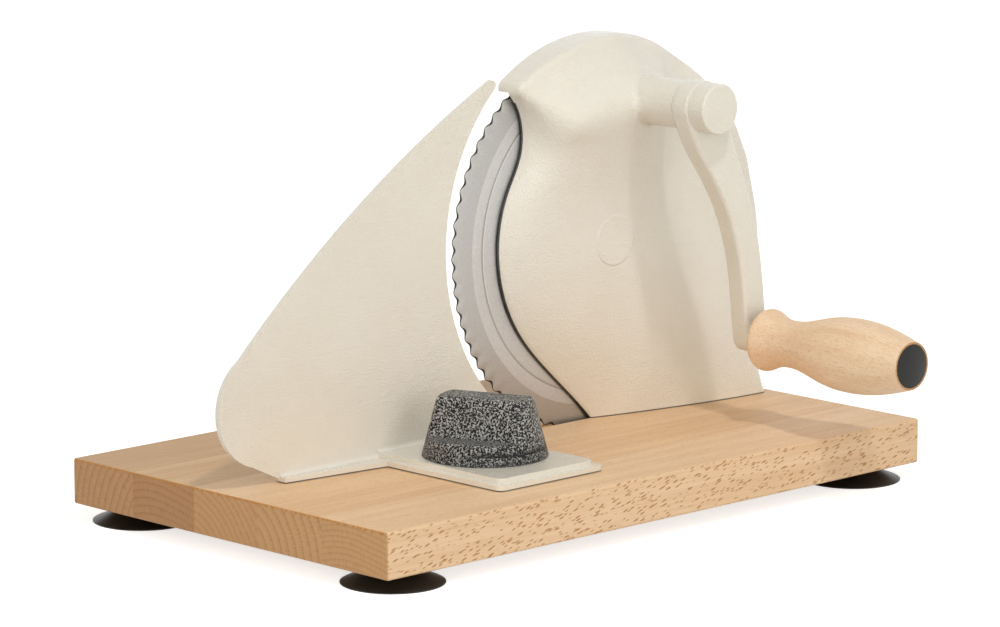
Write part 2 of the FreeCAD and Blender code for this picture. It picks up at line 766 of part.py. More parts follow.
def gear_wire(teeth, first_tooth, x, z):
    """Outline of an involute gear with a tooth centred on the first direction, in degrees from +X."""
    pitch = gear_module * teeth / 2
    base = pitch * math.cos(math.radians(pressure_angle))
    tip = pitch + gear_module
    root = pitch - 1.25 * gear_module
    pressure = math.radians(pressure_angle)
    half_pitch = math.pi / (2 * teeth) - gear_backlash / (4 * pitch)

    def half_angle(radius):
        """Half the tooth's angle at a radius."""
        angle = math.acos(min(base / radius, 1.0))
        return math.degrees(half_pitch + math.tan(pressure) - pressure - math.tan(angle) + angle)

    start = max(base, root)
    radii = [start + (tip - start) * i / (flank_points - 1) for i in range(flank_points)]
    edges = []
    last = None
    first = None
    for tooth in range(teeth):
        centre = first_tooth + 360.0 * tooth / teeth
        rising = [polar(r, centre - half_angle(r), x, z) for r in radii]
        falling = [polar(r, centre + half_angle(r), x, z) for r in reversed(radii)]
        foot_in = polar(root, centre - half_angle(start), x, z)
        foot_out = polar(root, centre + half_angle(start), x, z)
        if last is not None:
            middle = polar(root, centre - 180.0 / teeth, x, z)
            edges.append(arc(last, middle, foot_in))
        else:
            first = foot_in
        if start > root:
            edges.append(line(foot_in, rising[0]))
        edges.append(smooth_curve(rising))
        edges.append(arc(rising[-1], polar(tip, centre, x, z), falling[0]))
        edges.append(smooth_curve(falling))
        if start > root:
            edges.append(line(falling[-1], foot_out))
        last = foot_out
    edges.append(arc(last, polar(root, first_tooth - 180.0 / teeth, x, z), first))
    return Part.Wire(edges)


def blade_gear():
    """Gear riveted to the front of the blade, with round windows."""
    body = prism_y(gear_wire(blade_gear_teeth, 90 - crank_lean, blade_x, blade_z), gear_front_y, gear_back_y)
    cuts = [rod_y(bush_outer_radius, gear_front_y - 1, gear_back_y + 1, blade_x, blade_z)]
    cuts += rivet_rods(gear_rivet_radius, gear_front_y - 1, gear_back_y + 1)
    for i in range(gear_window_count):
        place = polar(gear_window_circle, 360.0 * (i + 0.5) / gear_window_count, blade_x, blade_z)
        cuts.append(rod_y(gear_window_radius, gear_front_y - 1, gear_back_y + 1, place.x, place.z))
    return body.cut(cuts)


def blade_bush():
    """Bronze bush that the gear and the blade share."""
    outer = rod_y(bush_outer_radius, bush_front_y, bush_back_y, blade_x, blade_z)
    return outer.cut(rod_y(axle_radius + running_gap, bush_front_y, bush_back_y, blade_x, blade_z))


# ---------------------------------------------------------------- crank shaft
def crank_bush(y_front):
    """Bush in one end of the crank's boss."""
    y_back = y_front + crank_bush_length
    outer = rod_y(shaft_radius + running_gap + crank_bush_wall, y_front, y_back, crank_x, crank_z)
    return outer.cut(rod_y(shaft_radius + running_gap, y_front, y_back, crank_x, crank_z))


def pinion_pin_rod():
    """Cross pin's cylinder, through the pinion's hub and the shaft."""
    y = pinion_front_y - pinion_hub_length / 2
    half = pinion_hub_radius - pin_sink
    return Part.makeCylinder(pinion_pin_radius, 2 * half, Vector(crank_x - half, y, crank_z),
                             Vector(1, 0, 0))


def crank_shaft():
    """Shaft with a thread at the crank's end and a cross hole at the pinion's."""
    tip_y = hub_back_y - shaft_thread_length
    profile = [(0, tip_y), (shaft_thread_radius - shaft_chamfer, tip_y),
               (shaft_thread_radius, tip_y + shaft_chamfer), (shaft_thread_radius, hub_back_y),
               (shaft_radius, hub_back_y),
               (shaft_radius, pinion_back_y - shaft_chamfer), (shaft_radius - shaft_chamfer, pinion_back_y),
               (0, pinion_back_y)]
    return turned_y(profile, crank_x, crank_z).cut(pinion_pin_rod())


def crank_pinion():
    """Pinion with a hub in front of its teeth."""
    body = prism_y(gear_wire(pinion_teeth, 270 - crank_lean + 180.0 / pinion_teeth, crank_x, crank_z),
                   pinion_front_y, pinion_back_y)
    hub = rod_y(pinion_hub_radius, pinion_front_y - pinion_hub_length, pinion_front_y, crank_x, crank_z)
    bore = rod_y(shaft_radius, pinion_front_y - pinion_hub_length - 1, pinion_back_y + 1, crank_x, crank_z)
    return fuse([body, hub]).cut([bore, pinion_pin_rod()])


def crank_washer():
    """Thin washer between the crank's hub and the boss."""
    back = hub_back_y + crank_washer_thickness
    outer = rod_y(crank_washer_radius, hub_back_y, back, crank_x, crank_z)
    return outer.cut(rod_y(shaft_radius, hub_back_y, back, crank_x, crank_z))


# ---------------------------------------------------------------- crank arm and grip
def arm_wire():
    """The arm's outline: a round head on the shaft, a slim curved blade and a round end at the grip."""
    grip = Vector(grip_dx, 0, grip_dz)

    def on_head(degrees):
        return polar(arm_head_radius, degrees, 0, 0)

    def on_end(degrees):
        return polar(arm_end_radius, degrees, grip.x, grip.z)

    def along(degrees, sign):
        angle = math.radians(degrees)
        return Vector(-math.sin(angle), 0, math.cos(angle)) * sign

    left = [on_head(arm_head_left)] + [Vector(x, 0, z) for x, z in arm_left_points] + [on_end(arm_end_left)]
    right = [on_end(arm_end_right)] + [Vector(x, 0, z) for x, z in reversed(arm_right_points)]
    right.append(on_head(arm_head_right))
    edges = [smooth_curve(left, along(arm_head_left, 1), along(arm_end_left, 1)),
             arc(left[-1], on_end(arm_end_left / 2 + (arm_end_right + 360) / 2), right[0]),
             smooth_curve(right, along(arm_end_right, 1), along(arm_head_right, 1)),
             arc(right[-1], on_head((arm_head_left + arm_head_right) / 2), left[0])]
    wire = Part.Wire(edges)
    wire.translate(Vector(crank_x, 0, crank_z))
    return wire


def crank_arm():
    """Cast arm with its hub, its grip collar and two threaded holes."""
    body = prism_y(arm_wire(), arm_front_y, hub_back_y)
    body = largest_round(body, (arm_edge_round, arm_edge_round / 2), lambda edge: (
        edge.BoundBox.YLength < 0.01))
    hub = rod_y(hub_radius, hub_front_y, hub_back_y, crank_x, crank_z)
    hub = round_edges(hub, hub_edge_round, lambda edge: edge.BoundBox.YMax < hub_front_y + 0.01)
    collar = rod_y(arm_end_boss_radius, arm_end_y, hub_back_y - arm_edge_round, grip_x, grip_z)
    shaft_hole = rod_y(shaft_thread_radius, hub_back_y - shaft_thread_length, hub_back_y + 1,
                       crank_x, crank_z)
    pin_hole = rod_y(grip_pin_thread_radius, arm_end_y - 1, arm_end_y + grip_pin_thread_length,
                     grip_x, grip_z)
    return fuse([body, hub, collar]).cut([shaft_hole, pin_hole])


def grip_pin():
    """Shouldered pin that the grip turns on, screwed into the arm."""
    seat_y = grip_tip_y + grip_counterbore_depth - grip_gap
    head_y = seat_y - grip_pin_head_height
    profile = [(0, head_y), (grip_pin_head_radius, head_y), (grip_pin_head_radius, seat_y),
               (grip_pin_radius, seat_y), (grip_pin_radius, arm_end_y), (grip_pin_thread_radius, arm_end_y),
               (grip_pin_thread_radius, arm_end_y + grip_pin_thread_length),
               (0, arm_end_y + grip_pin_thread_length)]
    pin = turned_y(profile, grip_x, grip_z)
    half = coin_slot_width / 2
    slot = block(grip_x - half, grip_x + half, head_y - 1, head_y + coin_slot_depth,
                 grip_z - grip_pin_head_radius - 1, grip_z + grip_pin_head_radius + 1)
    return pin.cut(slot)


def grip_washer():
    """Washer between the arm's collar and the grip."""
    front = arm_end_y - grip_washer_thickness
    outer = rod_y(grip_washer_radius, front, arm_end_y, grip_x, grip_z)
    return outer.cut(rod_y(grip_pin_radius, front, arm_end_y, grip_x, grip_z))


def grip():
    """Turned wooden grip with a bore for its pin and a counterbore at the tip."""
    outline = [Vector(radius, grip_base_y - distance, 0) for distance, radius in grip_profile]
    outline.append(Vector(grip_end_radius, grip_tip_y, 0))
    step_y = grip_tip_y + cap_thickness - cap_dome
    inner = [Vector(cap_radius, grip_tip_y, 0), Vector(cap_radius, step_y, 0),
             Vector(grip_counterbore_radius, step_y, 0),
             Vector(grip_counterbore_radius, grip_tip_y + grip_counterbore_depth, 0),
             Vector(grip_bore_radius, grip_tip_y + grip_counterbore_depth, 0),
             Vector(grip_bore_radius, grip_base_y, 0)]
    corners = [outline[-1]] + inner + [outline[0]]
    edges = [smooth_curve(outline)] + [line(a, b) for a, b in zip(corners, corners[1:])]
    solid = Part.Face(Part.Wire(edges)).revolve(Vector(0, 0, 0), Vector(0, 1, 0), 360)
    solid.translate(Vector(grip_x, 0, grip_z))
    return solid


def grip_cap():
    """Cap pressed into the grip's tip, with a hollow plug."""
    back_y = grip_tip_y + cap_thickness - cap_dome
    disc = dome(cap_radius, cap_thickness - cap_dome, cap_thickness, back_y, grip_x, grip_z, -1)
    plug = rod_y(grip_counterbore_radius, back_y, grip_tip_y + cap_plug_length, grip_x, grip_z)
    hollow = rod_y(grip_counterbore_radius - cap_plug_wall, back_y, grip_tip_y + cap_plug_length + 1,
                   grip_x, grip_z)
    return fuse([disc, plug]).cut(hollow)


# ---------------------------------------------------------------- guide plate
def sail_wire():
    """Outline of the plate that the loaf rests against, hollowed round the blade."""
    raise_up = Vector(0, 0, deck)
    centre = Vector(blade_x + guide_cut_offset, 0, blade_z + guide_cut_raise)
    tip = Vector(guide_tip[0], 0, guide_tip[1]) + raise_up
    outward = (tip - centre).normalize()
    tip_centre = centre + outward * (guide_cut_radius + guide_tip_radius)

    def on_tip(degrees):
        return polar(guide_tip_radius, degrees, tip_centre.x, tip_centre.z)

    inner = centre + outward * guide_cut_radius
    inward_angle = math.degrees(math.atan2(-outward.z, -outward.x))
    points = [Vector(x, 0, z) + raise_up for x, z in
              (guide_long_edge_middle, guide_shoulder, guide_corner_low, guide_corner_end, guide_heel)]
    base_left = Vector(flange_left, 0, guide_base_z)
    base_right = Vector(guide_right_end, 0, guide_base_z)
    side = guide_right_end - centre.x
    right_top = Vector(guide_right_end, 0, centre.z - math.sqrt(guide_cut_radius ** 2 - side ** 2))
    outer = on_tip(guide_tip_turn)
    cut_end = math.degrees(math.atan2(right_top.z - centre.z, side)) % 360
    cut_start = math.degrees(math.atan2(outward.z, outward.x))
    middle = polar(guide_cut_radius, (cut_end + cut_start) / 2, centre.x, centre.z)
    return Part.Wire([arc(inner, on_tip((inward_angle + guide_tip_turn) / 2), outer),
                      arc(outer, points[0], points[1]), arc(points[1], points[2], points[3]),
                      line(points[3], points[4]), line(points[4], base_left), line(base_left, base_right),
                      line(base_right, right_top), arc(right_top, middle, inner)])


def guide_plate():
    """One casting: the upright sail, its flange, the two-step foot and the key underneath."""
    sail = prism_y(sail_wire(), guide_front_y, guide_back_y)
    sail = largest_round(sail, (guide_edge_round, guide_edge_round / 2), lambda edge: (
        edge.BoundBox.YLength < 0.01 and edge.BoundBox.ZMax > deck + flange_thickness * 4))
    flange_top = guide_base_z + flange_thickness
    wire = Part.makePolygon([Vector(x, y, guide_base_z) for x, y in (
        (flange_left, guide_back_y - guide_edge_round), (flange_left, flange_left_front),
        (foot_left, flange_right_front), (foot_left, foot_front), (foot_right, foot_front),
        (foot_right, guide_back_y - guide_edge_round), (flange_left, guide_back_y - guide_edge_round))])
    flange = Part.Face(wire).extrude(Vector(0, 0, flange_thickness))
    flange = round_edges(flange, foot_corner_round, lambda edge: (
        edge.BoundBox.ZLength > flange_thickness / 2 and edge.BoundBox.YMax < foot_front + 1))
    step = block(foot_left + foot_step_inset, foot_right - foot_step_inset, foot_front + foot_step_inset,
                 guide_back_y - guide_edge_round, guide_base_z, foot_top_z)
    step = round_edges(step, foot_corner_round, lambda edge: (
        edge.BoundBox.ZLength > flange_thickness and edge.BoundBox.YMax < foot_front + foot_step_inset + 1))
    key_bottom = deck - key_depth + guide_board_gap
    key = block(clamp_x - key_width / 2, clamp_x + key_width / 2, clamp_y - key_length / 2,
                clamp_y + key_length / 2, key_bottom, flange_top)
    body = fuse([sail, flange, step, key])
    bend = [edge for edge in body.Edges if abs(edge.BoundBox.YMin - guide_front_y) < 0.01
            and edge.BoundBox.YLength < 0.01 and edge.BoundBox.ZLength < 0.01
            and flange_top - 0.01 < edge.BoundBox.ZMin and edge.BoundBox.ZMax < foot_top_z + 0.01]
    body = largest_round(body, (flange_fillet, flange_fillet / 2), lambda edge: any(
        edge.isSame(other) for other in bend))
    return body.cut(rod_z(clamp_bolt_radius + clamp_hole_gap, key_bottom - 1, foot_top_z + 1,
                          clamp_x, clamp_y))


# ---------------------------------------------------------------- clamp
def clamp_neck_block():
    """The square above the clamp bolt's head, which slides in the board's slot without turning."""
    low = foot_height + clamp_recess_depth - clamp_bottom_washer_thickness
    half = clamp_neck / 2
    return block(clamp_x - half, clamp_x + half, clamp_y - half, clamp_y + half, low, low + clamp_neck_length)


def clamp_bolt():
    """Square necked bolt, up through the board's slot and the guide plate's foot."""
    seat = foot_height + clamp_recess_depth - clamp_bottom_washer_thickness
    head = rod_z(clamp_bolt_head_radius, seat - clamp_bolt_head_height, seat, clamp_x, clamp_y)
    head = head.makeFillet(clamp_bolt_head_height * 0.6, [
        edge for edge in head.Edges if edge.BoundBox.ZMax < seat - clamp_bolt_head_height + 0.01])
    shank = rod_z(clamp_bolt_radius, seat, foot_top_z + clamp_thread_reach, clamp_x, clamp_y)
    shank = shank.makeChamfer(shaft_chamfer, [
        edge for edge in shank.Edges if edge.BoundBox.ZMin > foot_top_z + clamp_thread_reach - 0.01])
    return fuse([head, clamp_neck_block(), shank])


def clamp_bottom_washer():
    """Washer above the bolt's head, with a square hole."""
    low = foot_height + clamp_recess_depth - clamp_bottom_washer_thickness
    return rod_z(clamp_bottom_washer_radius, low, low + clamp_bottom_washer_thickness, clamp_x, clamp_y).cut(
        clamp_neck_block())


def clamp_washer():
    """Washer between the knob and the guide plate's foot."""
    outer = rod_z(clamp_washer_radius, foot_top_z, knob_seat_z, clamp_x, clamp_y)
    return outer.cut(rod_z(clamp_bolt_radius + clamp_hole_gap, foot_top_z, knob_seat_z, clamp_x, clamp_y))


def knob_form(inset):
    """Cone with a skirt below and a tapered bar above, drawn in by the inset."""
    height = knob_height - inset
    slope = (knob_base_radius - knob_top_radius) / knob_height
    cone = turned_z([(0, 0), (knob_base_radius - inset, 0),
                     (knob_base_radius - inset - slope * height, height), (0, height)], 0, 0)
    foot, top = knob_bar_foot / 2 - inset, knob_bar_top / 2 - inset
    ledge = knob_skirt_height - inset
    reach = knob_base_radius + 5
    wire = Part.makePolygon([Vector(-reach, y, z) for y, z in (
        (-reach, 0), (-reach, ledge), (-foot, ledge), (-top, height + 0.01), (top, height + 0.01),
        (foot, ledge), (reach, ledge), (reach, 0), (-reach, 0))])
    return cone.common(Part.Face(wire).extrude(Vector(2 * reach, 0, 0)))


def clamp_knob():
    """Moulded knob: rounded outside, hollow underneath, with a core round its insert."""
    body = largest_round(knob_form(0.0), (knob_round, knob_round * 0.7, knob_round * 0.5), lambda edge: (
        edge.BoundBox.ZMax > 0.01))
    hollow = knob_form(knob_wall)
    core_seat = knob_seat_z - knob_base_z
    core = rod_z(knob_core_radius, core_seat, knob_height, 0, 0)
    hollow = hollow.cut(core)
    bore = rod_z(insert_radius, core_seat - 1, core_seat + insert_length, 0, 0)
    tip = rod_z(clamp_bolt_radius + thread_runout / 2, core_seat,
                clamp_thread_reach - knob_base_gap + thread_runout, 0, 0)
    body = body.cut([hollow, bore, tip])
    body.rotate(Vector(0, 0, 0), Vector(0, 0, 1), knob_bar_turn)
    body.translate(Vector(clamp_x, clamp_y, knob_base_z))
    return body


def knob_insert():
    """Threaded brass insert moulded into the knob's core."""
    outer = rod_z(insert_radius, knob_seat_z, knob_seat_z + insert_length, clamp_x, clamp_y)
    return outer.cut(rod_z(clamp_bolt_radius + thread_gap, knob_seat_z - 1, knob_seat_z + insert_length + 1,
                           clamp_x, clamp_y))


# ---------------------------------------------------------------- pieces
def pieces():
    """Every named piece, each a list of solids."""
    staves = board_staves()
    made = {"board_stave_%d" % (i + 1): [stave] for i, stave in enumerate(staves)}
    corners = ["front_left", "front_right", "back_left", "back_right"]
    for corner, (x, y) in zip(corners, foot_places):
        made["suction_foot_" + corner] = [suction_foot(x, y)]
    made["foot_screws"] = [foot_screw(x, y) for x, y in foot_places]
    made["foot_washers"] = [foot_washer(x, y) for x, y in foot_places]
    made["housing"] = [housing()]
    made["housing_screws"] = housing_screws()
    made["crank_bush_front"] = [crank_bush(crank_boss_end_y)]
    made["crank_bush_rear"] = [crank_bush(crank_boss_inner_y - crank_bush_length)]
    made["blade_rivets"] = blade_rivets()
    single = [blade_axle, blade_screw, blade, blade_gear, blade_bush, crank_shaft, crank_pinion, crank_washer,
              crank_arm, grip_pin, grip_washer, grip, grip_cap, guide_plate, clamp_bolt, clamp_bottom_washer,
              clamp_washer, clamp_knob, knob_insert]
    for maker in single:
        made[maker.__name__] = [maker()]
    made["pinion_pin"] = [pinion_pin_rod()]
    return made


def main():
    """Write one file for each piece."""
    os.makedirs("parts", exist_ok=True)
    for name, solids in pieces().items():
        shapes = [solid for shape in solids for solid in shape.Solids]
        whole = shapes[0] if len(shapes) == 1 else Part.makeCompound(shapes)
        whole.translate(datum_shift)
        whole.exportStep("parts/%s.step" % name)


if __name__ == "__main__":
    main()
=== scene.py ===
"""Hand cranked bread slicer: finishes, fine pieces, floor, lamps and camera over the fixed frame.

Everything is in metres in the frame's own place, +Z up, with the board along X, the crank towards -Y and
the loaf's side towards +Y.  Sizes below are in millimetres and pass through MM.
"""
from __future__ import annotations

import json
import logging
import math
from collections.abc import Callable, Sequence
from dataclasses import dataclass, field
from enum import Enum
from functools import partial
from typing import Any

import bmesh
import bpy
from bpy.types import Material, Mesh, Node, NodeSocket, NodeTree, Object
from mathutils import Matrix, Vector

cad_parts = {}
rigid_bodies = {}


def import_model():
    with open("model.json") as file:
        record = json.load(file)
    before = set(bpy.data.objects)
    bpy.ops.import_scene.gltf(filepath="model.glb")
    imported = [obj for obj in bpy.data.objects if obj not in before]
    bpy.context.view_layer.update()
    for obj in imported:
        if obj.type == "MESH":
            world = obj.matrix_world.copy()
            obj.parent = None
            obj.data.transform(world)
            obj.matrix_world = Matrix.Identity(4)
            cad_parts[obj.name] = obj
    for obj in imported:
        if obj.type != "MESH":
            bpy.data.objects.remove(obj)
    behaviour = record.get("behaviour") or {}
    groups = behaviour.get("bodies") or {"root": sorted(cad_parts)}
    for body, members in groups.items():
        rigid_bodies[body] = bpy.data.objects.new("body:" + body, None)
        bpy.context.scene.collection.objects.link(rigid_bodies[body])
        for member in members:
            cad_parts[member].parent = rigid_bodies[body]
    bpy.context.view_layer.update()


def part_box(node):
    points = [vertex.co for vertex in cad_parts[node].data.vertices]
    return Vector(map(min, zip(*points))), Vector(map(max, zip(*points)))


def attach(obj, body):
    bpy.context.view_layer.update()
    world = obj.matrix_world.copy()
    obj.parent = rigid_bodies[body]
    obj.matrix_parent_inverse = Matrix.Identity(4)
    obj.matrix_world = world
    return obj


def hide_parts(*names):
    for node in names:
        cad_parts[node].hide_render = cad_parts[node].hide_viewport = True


MM = 0.001
MERGE = 0.001 * MM                      # corners nearer to each other than this are one corner
SLIVER = 0.0001 * MM                    # and edges shorter than this are dropped
CREASE = math.radians(28.0)             # an edge that bends more than this stays sharp
LOG = logging.getLogger("bread_slicer")
Adder = Callable[..., Node]             # add_node, bound to one tree
Stops = Sequence[tuple[float, str]]     # the places and hex colours of a colour ramp


class Body(Enum):
    """The moving groups of the slicer that a piece can ride on."""

    STAND = "stand"
    BLADE = "blade_set"
    CRANK = "crank"
    GRIP = "grip_set"
    GUIDE = "guide"
    KNOB = "knob"


class Slot(Enum):
    """The finishes of the slicer."""

    BEECH = "beech_board"
    RUBBER = "rubber_feet"
    ZINC = "zinc_steel"
    ENAMEL = "cream_enamel"
    BLADE = "blade_steel"
    GEAR = "gear_steel"
    BRONZE = "bush_bronze"
    KNOB = "knob_plastic"
    CAP = "cap_plastic"
    BRASS = "insert_brass"


class Grain(Enum):
    """The turn in degrees that lays a piece of wood's fibres along X."""

    ALONG_BOARD = 0.0
    ALONG_GRIP = -90.0


def linear(code: str) -> tuple[float, float, float, float]:
    """Turns an sRGB hex colour into the linear values that a shader takes.

    Args:
        code: the colour as #RRGGBB.

    Returns:
        Red, green, blue and a full alpha.
    """
    shares = [int(code[start:start + 2], 16) / 255 for start in (1, 3, 5)]
    red, green, blue = (s / 12.92 if s <= 0.04045 else ((s + 0.055) / 1.055) ** 2.4 for s in shares)
    return red, green, blue, 1.0


def add_node(tree: NodeTree, kind: str, inputs: dict[str | int, Any] | None = None, stops: Stops = (),
             **settings: Any) -> Node:
    """Adds a node with its settings, values and links.

    Args:
        tree: the node tree that it joins.
        kind: the node's type; a shader node's goes without "ShaderNode".
        inputs: a value, an output or a node for each named or numbered input; a node stands for the
            first of its outputs that is in use.
        stops: the stops of a colour ramp.
        **settings: the node's own properties.

    Returns:
        The new node.
    """
    made = tree.nodes.new(kind if "Node" in kind else f"ShaderNode{kind}")
    for name, value in settings.items():
        setattr(made, name, value)
    for name, value in (inputs or {}).items():
        if isinstance(value, Node):
            value = next(output for output in value.outputs if output.enabled)
        if isinstance(value, NodeSocket):
            tree.links.new(value, made.inputs[name])
        else:
            made.inputs[name].default_value = value
    for index, (position, code) in enumerate(stops):
        points = made.color_ramp.elements
        point = points[index] if index < len(points) else points.new(position)
        point.position = position
        point.color = linear(code)
    return made


def link_object(name: str, mesh: Mesh) -> Object:
    """Puts a mesh into the scene as an object at the origin.

    Args:
        name: the piece's name.
        mesh: its mesh, already in place.

    Returns:
        The new object.
    """
    made = bpy.data.objects.new(name, mesh)
    bpy.context.scene.collection.objects.link(made)
    return made


def settle(piece: Object, body: Body, node: str, finish: Material) -> None:
    """Gives a finished piece its material and its body, and hides the node that it stands for.

    Args:
        piece: the object, at the origin with its place in its mesh.
        body: the group that it rides on.
        node: the frame's node that it replaces.
        finish: its material.
    """
    if finish.name not in [m.name for m in piece.data.materials if m]:
        piece.data.materials.clear()
        piece.data.materials.append(finish)
    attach(piece, body.value)
    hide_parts(node)
    LOG.info("%s: %d faces, rides on %s, for %s", piece.name, len(piece.data.polygons), body.value, node)


# ---------------------------------------------------------------------------------------- finishes
def off_axle(add: Adder, place: NodeSocket, axle: tuple[float, float]) -> tuple[Node, Node]:
    """Measures from an axle that runs along Y.

    Args:
        add: adds a node to the material.
        place: the object coordinates, in metres.
        axle: its X and Z in millimetres.

    Returns:
        The way from the axle, level with Y left out, and its length.
    """
    away = add("VectorMath", {0: place, 1: (-axle[0] * MM, 0.0, -axle[1] * MM)}, operation="ADD")
    flat = add("VectorMath", {0: away, 1: (1.0, 0.0, 1.0)}, operation="MULTIPLY")
    return flat, add("VectorMath", {0: flat}, operation="LENGTH")


@dataclass(frozen=True)
class Finish:
    """A surface as its maker would call it."""

    name: str

    def material(self) -> Material:
        """Makes the finish's material, the first time it is asked for.

        Returns:
            The material, one for each name.
        """
        made = bpy.data.materials.get(self.name)
        if made:
            return made
        made = bpy.data.materials.new(self.name)
        made.use_nodes = True
        made.node_tree.nodes.clear()
        add = partial(add_node, made.node_tree)
        place = add("TexCoord").outputs["Object"]
        shader = add("BsdfPrincipled", self.surface(add, place))
        add("OutputMaterial", {"Surface": shader})
        return made

    def surface(self, add: Adder, place: NodeSocket) -> dict[str, Any]:
        """Adds the nodes of the finish's pattern.

        Args:
            add: adds a node to the material.
            place: the object coordinates, in metres.

        Returns:
            What each input of the principled shader takes.
        """
        raise NotImplementedError


@dataclass(frozen=True)
class CastEnamel(Finish):
    """Stove enamel sprayed on cast aluminium: an even cream skin whose fine orange peel breaks up its gloss, with
    painted shade along the foot and in the gap beside the blade.
    """

    colour: str = "#F0EADE"
    shade: str = "#EDE6D9"
    clouds: float = 22.0                # clouds of the barely darker shade in a metre
    peel: float = 0.72                  # width of one bump of the orange peel
    relief: float = 0.43                # its height, drawn deeper than the real 0.03 so that it shows
    leather: float = 3.4                # width of the slower waves under it
    wave_share: float = 0.5             # and their height against the peel's
    askew: tuple[float, float, float] = (0.6, 0.5, 0.8)     # turned off the axes, so that no rows show
    mark_centre: tuple[float, float] | None = None
    mark_radius: float = 12.4           # a faint round sink mark over the axle's boss inside
    mark_width: float = 0.55
    mark_height: float = 0.85           # against the peel's
    painted_shade: str = "#1F1C19"               # painted shade, for the shadow in the gap beside the blade and under the flange's foot
    foot_shade_top: float = 30.75             # painted shade under the flange, where it meets the board, reaches up to here
    foot_shade_fade: float = 0.25
    foot_shade_dark: float = 0.9
    gap_shade_from: float | None = None      # where the painted shade in the gap beside the blade starts along Y, for the piece that has one
    gap_shade_fade: float = 0.1
    gap_shade_depth: float = 1.5             # its thickness
    gap_shade_radius: float = 98.0           # it lies nearer to the axle than this
    gap_shade_top: float = 191.0             # and lower than this

    def surface(self, add: Adder, place: NodeSocket) -> dict[str, Any]:
        """Orange peel over slow waves as bump, a barely darker drift of colour, painted shade along the foot and in
        the gap beside the blade, and a clear coat's gloss.

        Args:
            add: adds a node to the material.
            place: the object coordinates, in metres.

        Returns:
            What each input of the principled shader takes.
        """
        turned = add("Mapping", {"Vector": place, "Rotation": self.askew})
        peel = add("TexNoise", {"Vector": turned, "Scale": 1 / (self.peel * MM), "Detail": 1.0, "Distortion": 0.5})
        wave = add("TexNoise", {"Vector": turned, "Scale": 1 / (self.leather * MM), "Detail": 1.0})
        height = add("Math", {0: wave, 1: self.wave_share, 2: peel}, operation="MULTIPLY_ADD")
        drift = add("TexNoise", {"Vector": place, "Scale": self.clouds, "Detail": 2.0})
        skin = add("ValToRGB", {"Fac": drift}, stops=((0.3, self.shade), (0.62, self.colour)))
        parts = add("SeparateXYZ", {0: place}).outputs
        # painted shade: darker towards the flange's lowest edge, where it meets the board
        ground = add("MapRange", {"Value": parts["Z"], "From Min": self.foot_shade_top * MM,
                                  "From Max": (self.foot_shade_top - self.foot_shade_fade) * MM, "To Max": self.foot_shade_dark})
        skin = add("Mix", {0: ground, 6: skin, 7: linear(self.painted_shade)}, data_type="RGBA")
        if self.mark_centre:
            _, far = off_axle(add, place, self.mark_centre)
            ring = add("MapRange", {"Value": far, "From Min": (self.mark_radius - self.mark_width) * MM,
                                    "From Max": (self.mark_radius + self.mark_width) * MM,
                                    "To Min": self.mark_height, "To Max": 0.0}, interpolation_type="SMOOTHSTEP")
            height = add("Math", {0: height, 1: ring}, operation="ADD")
            # painted shade: the thin edge beside the blade is darkened for the shadow in the gap between them
            if self.gap_shade_from:
                share = add("MapRange", {"Value": parts["Y"], "From Min": self.gap_shade_from * MM,
                                         "From Max": (self.gap_shade_from + self.gap_shade_fade) * MM})
                for measure, limit in ((far, self.gap_shade_radius), (parts["Z"], self.gap_shade_top),
                                       (parts["Y"], self.gap_shade_from + self.gap_shade_depth)):
                    within = add("Math", {0: measure, 1: limit * MM}, operation="LESS_THAN")
                    share = add("Math", {0: share, 1: within}, operation="MULTIPLY")
                skin = add("Mix", {0: share, 6: skin, 7: linear(self.painted_shade)}, data_type="RGBA")
        bump = add("Bump", {"Height": height, "Strength": 1.0, "Distance": self.relief * MM})
        return {"Base Color": skin, "Normal": bump, "Coat Normal": bump, "Roughness": 0.38, "IOR": 1.5,
                "Coat Weight": 1.0, "Coat Roughness": 0.05, "Coat IOR": 1.5}


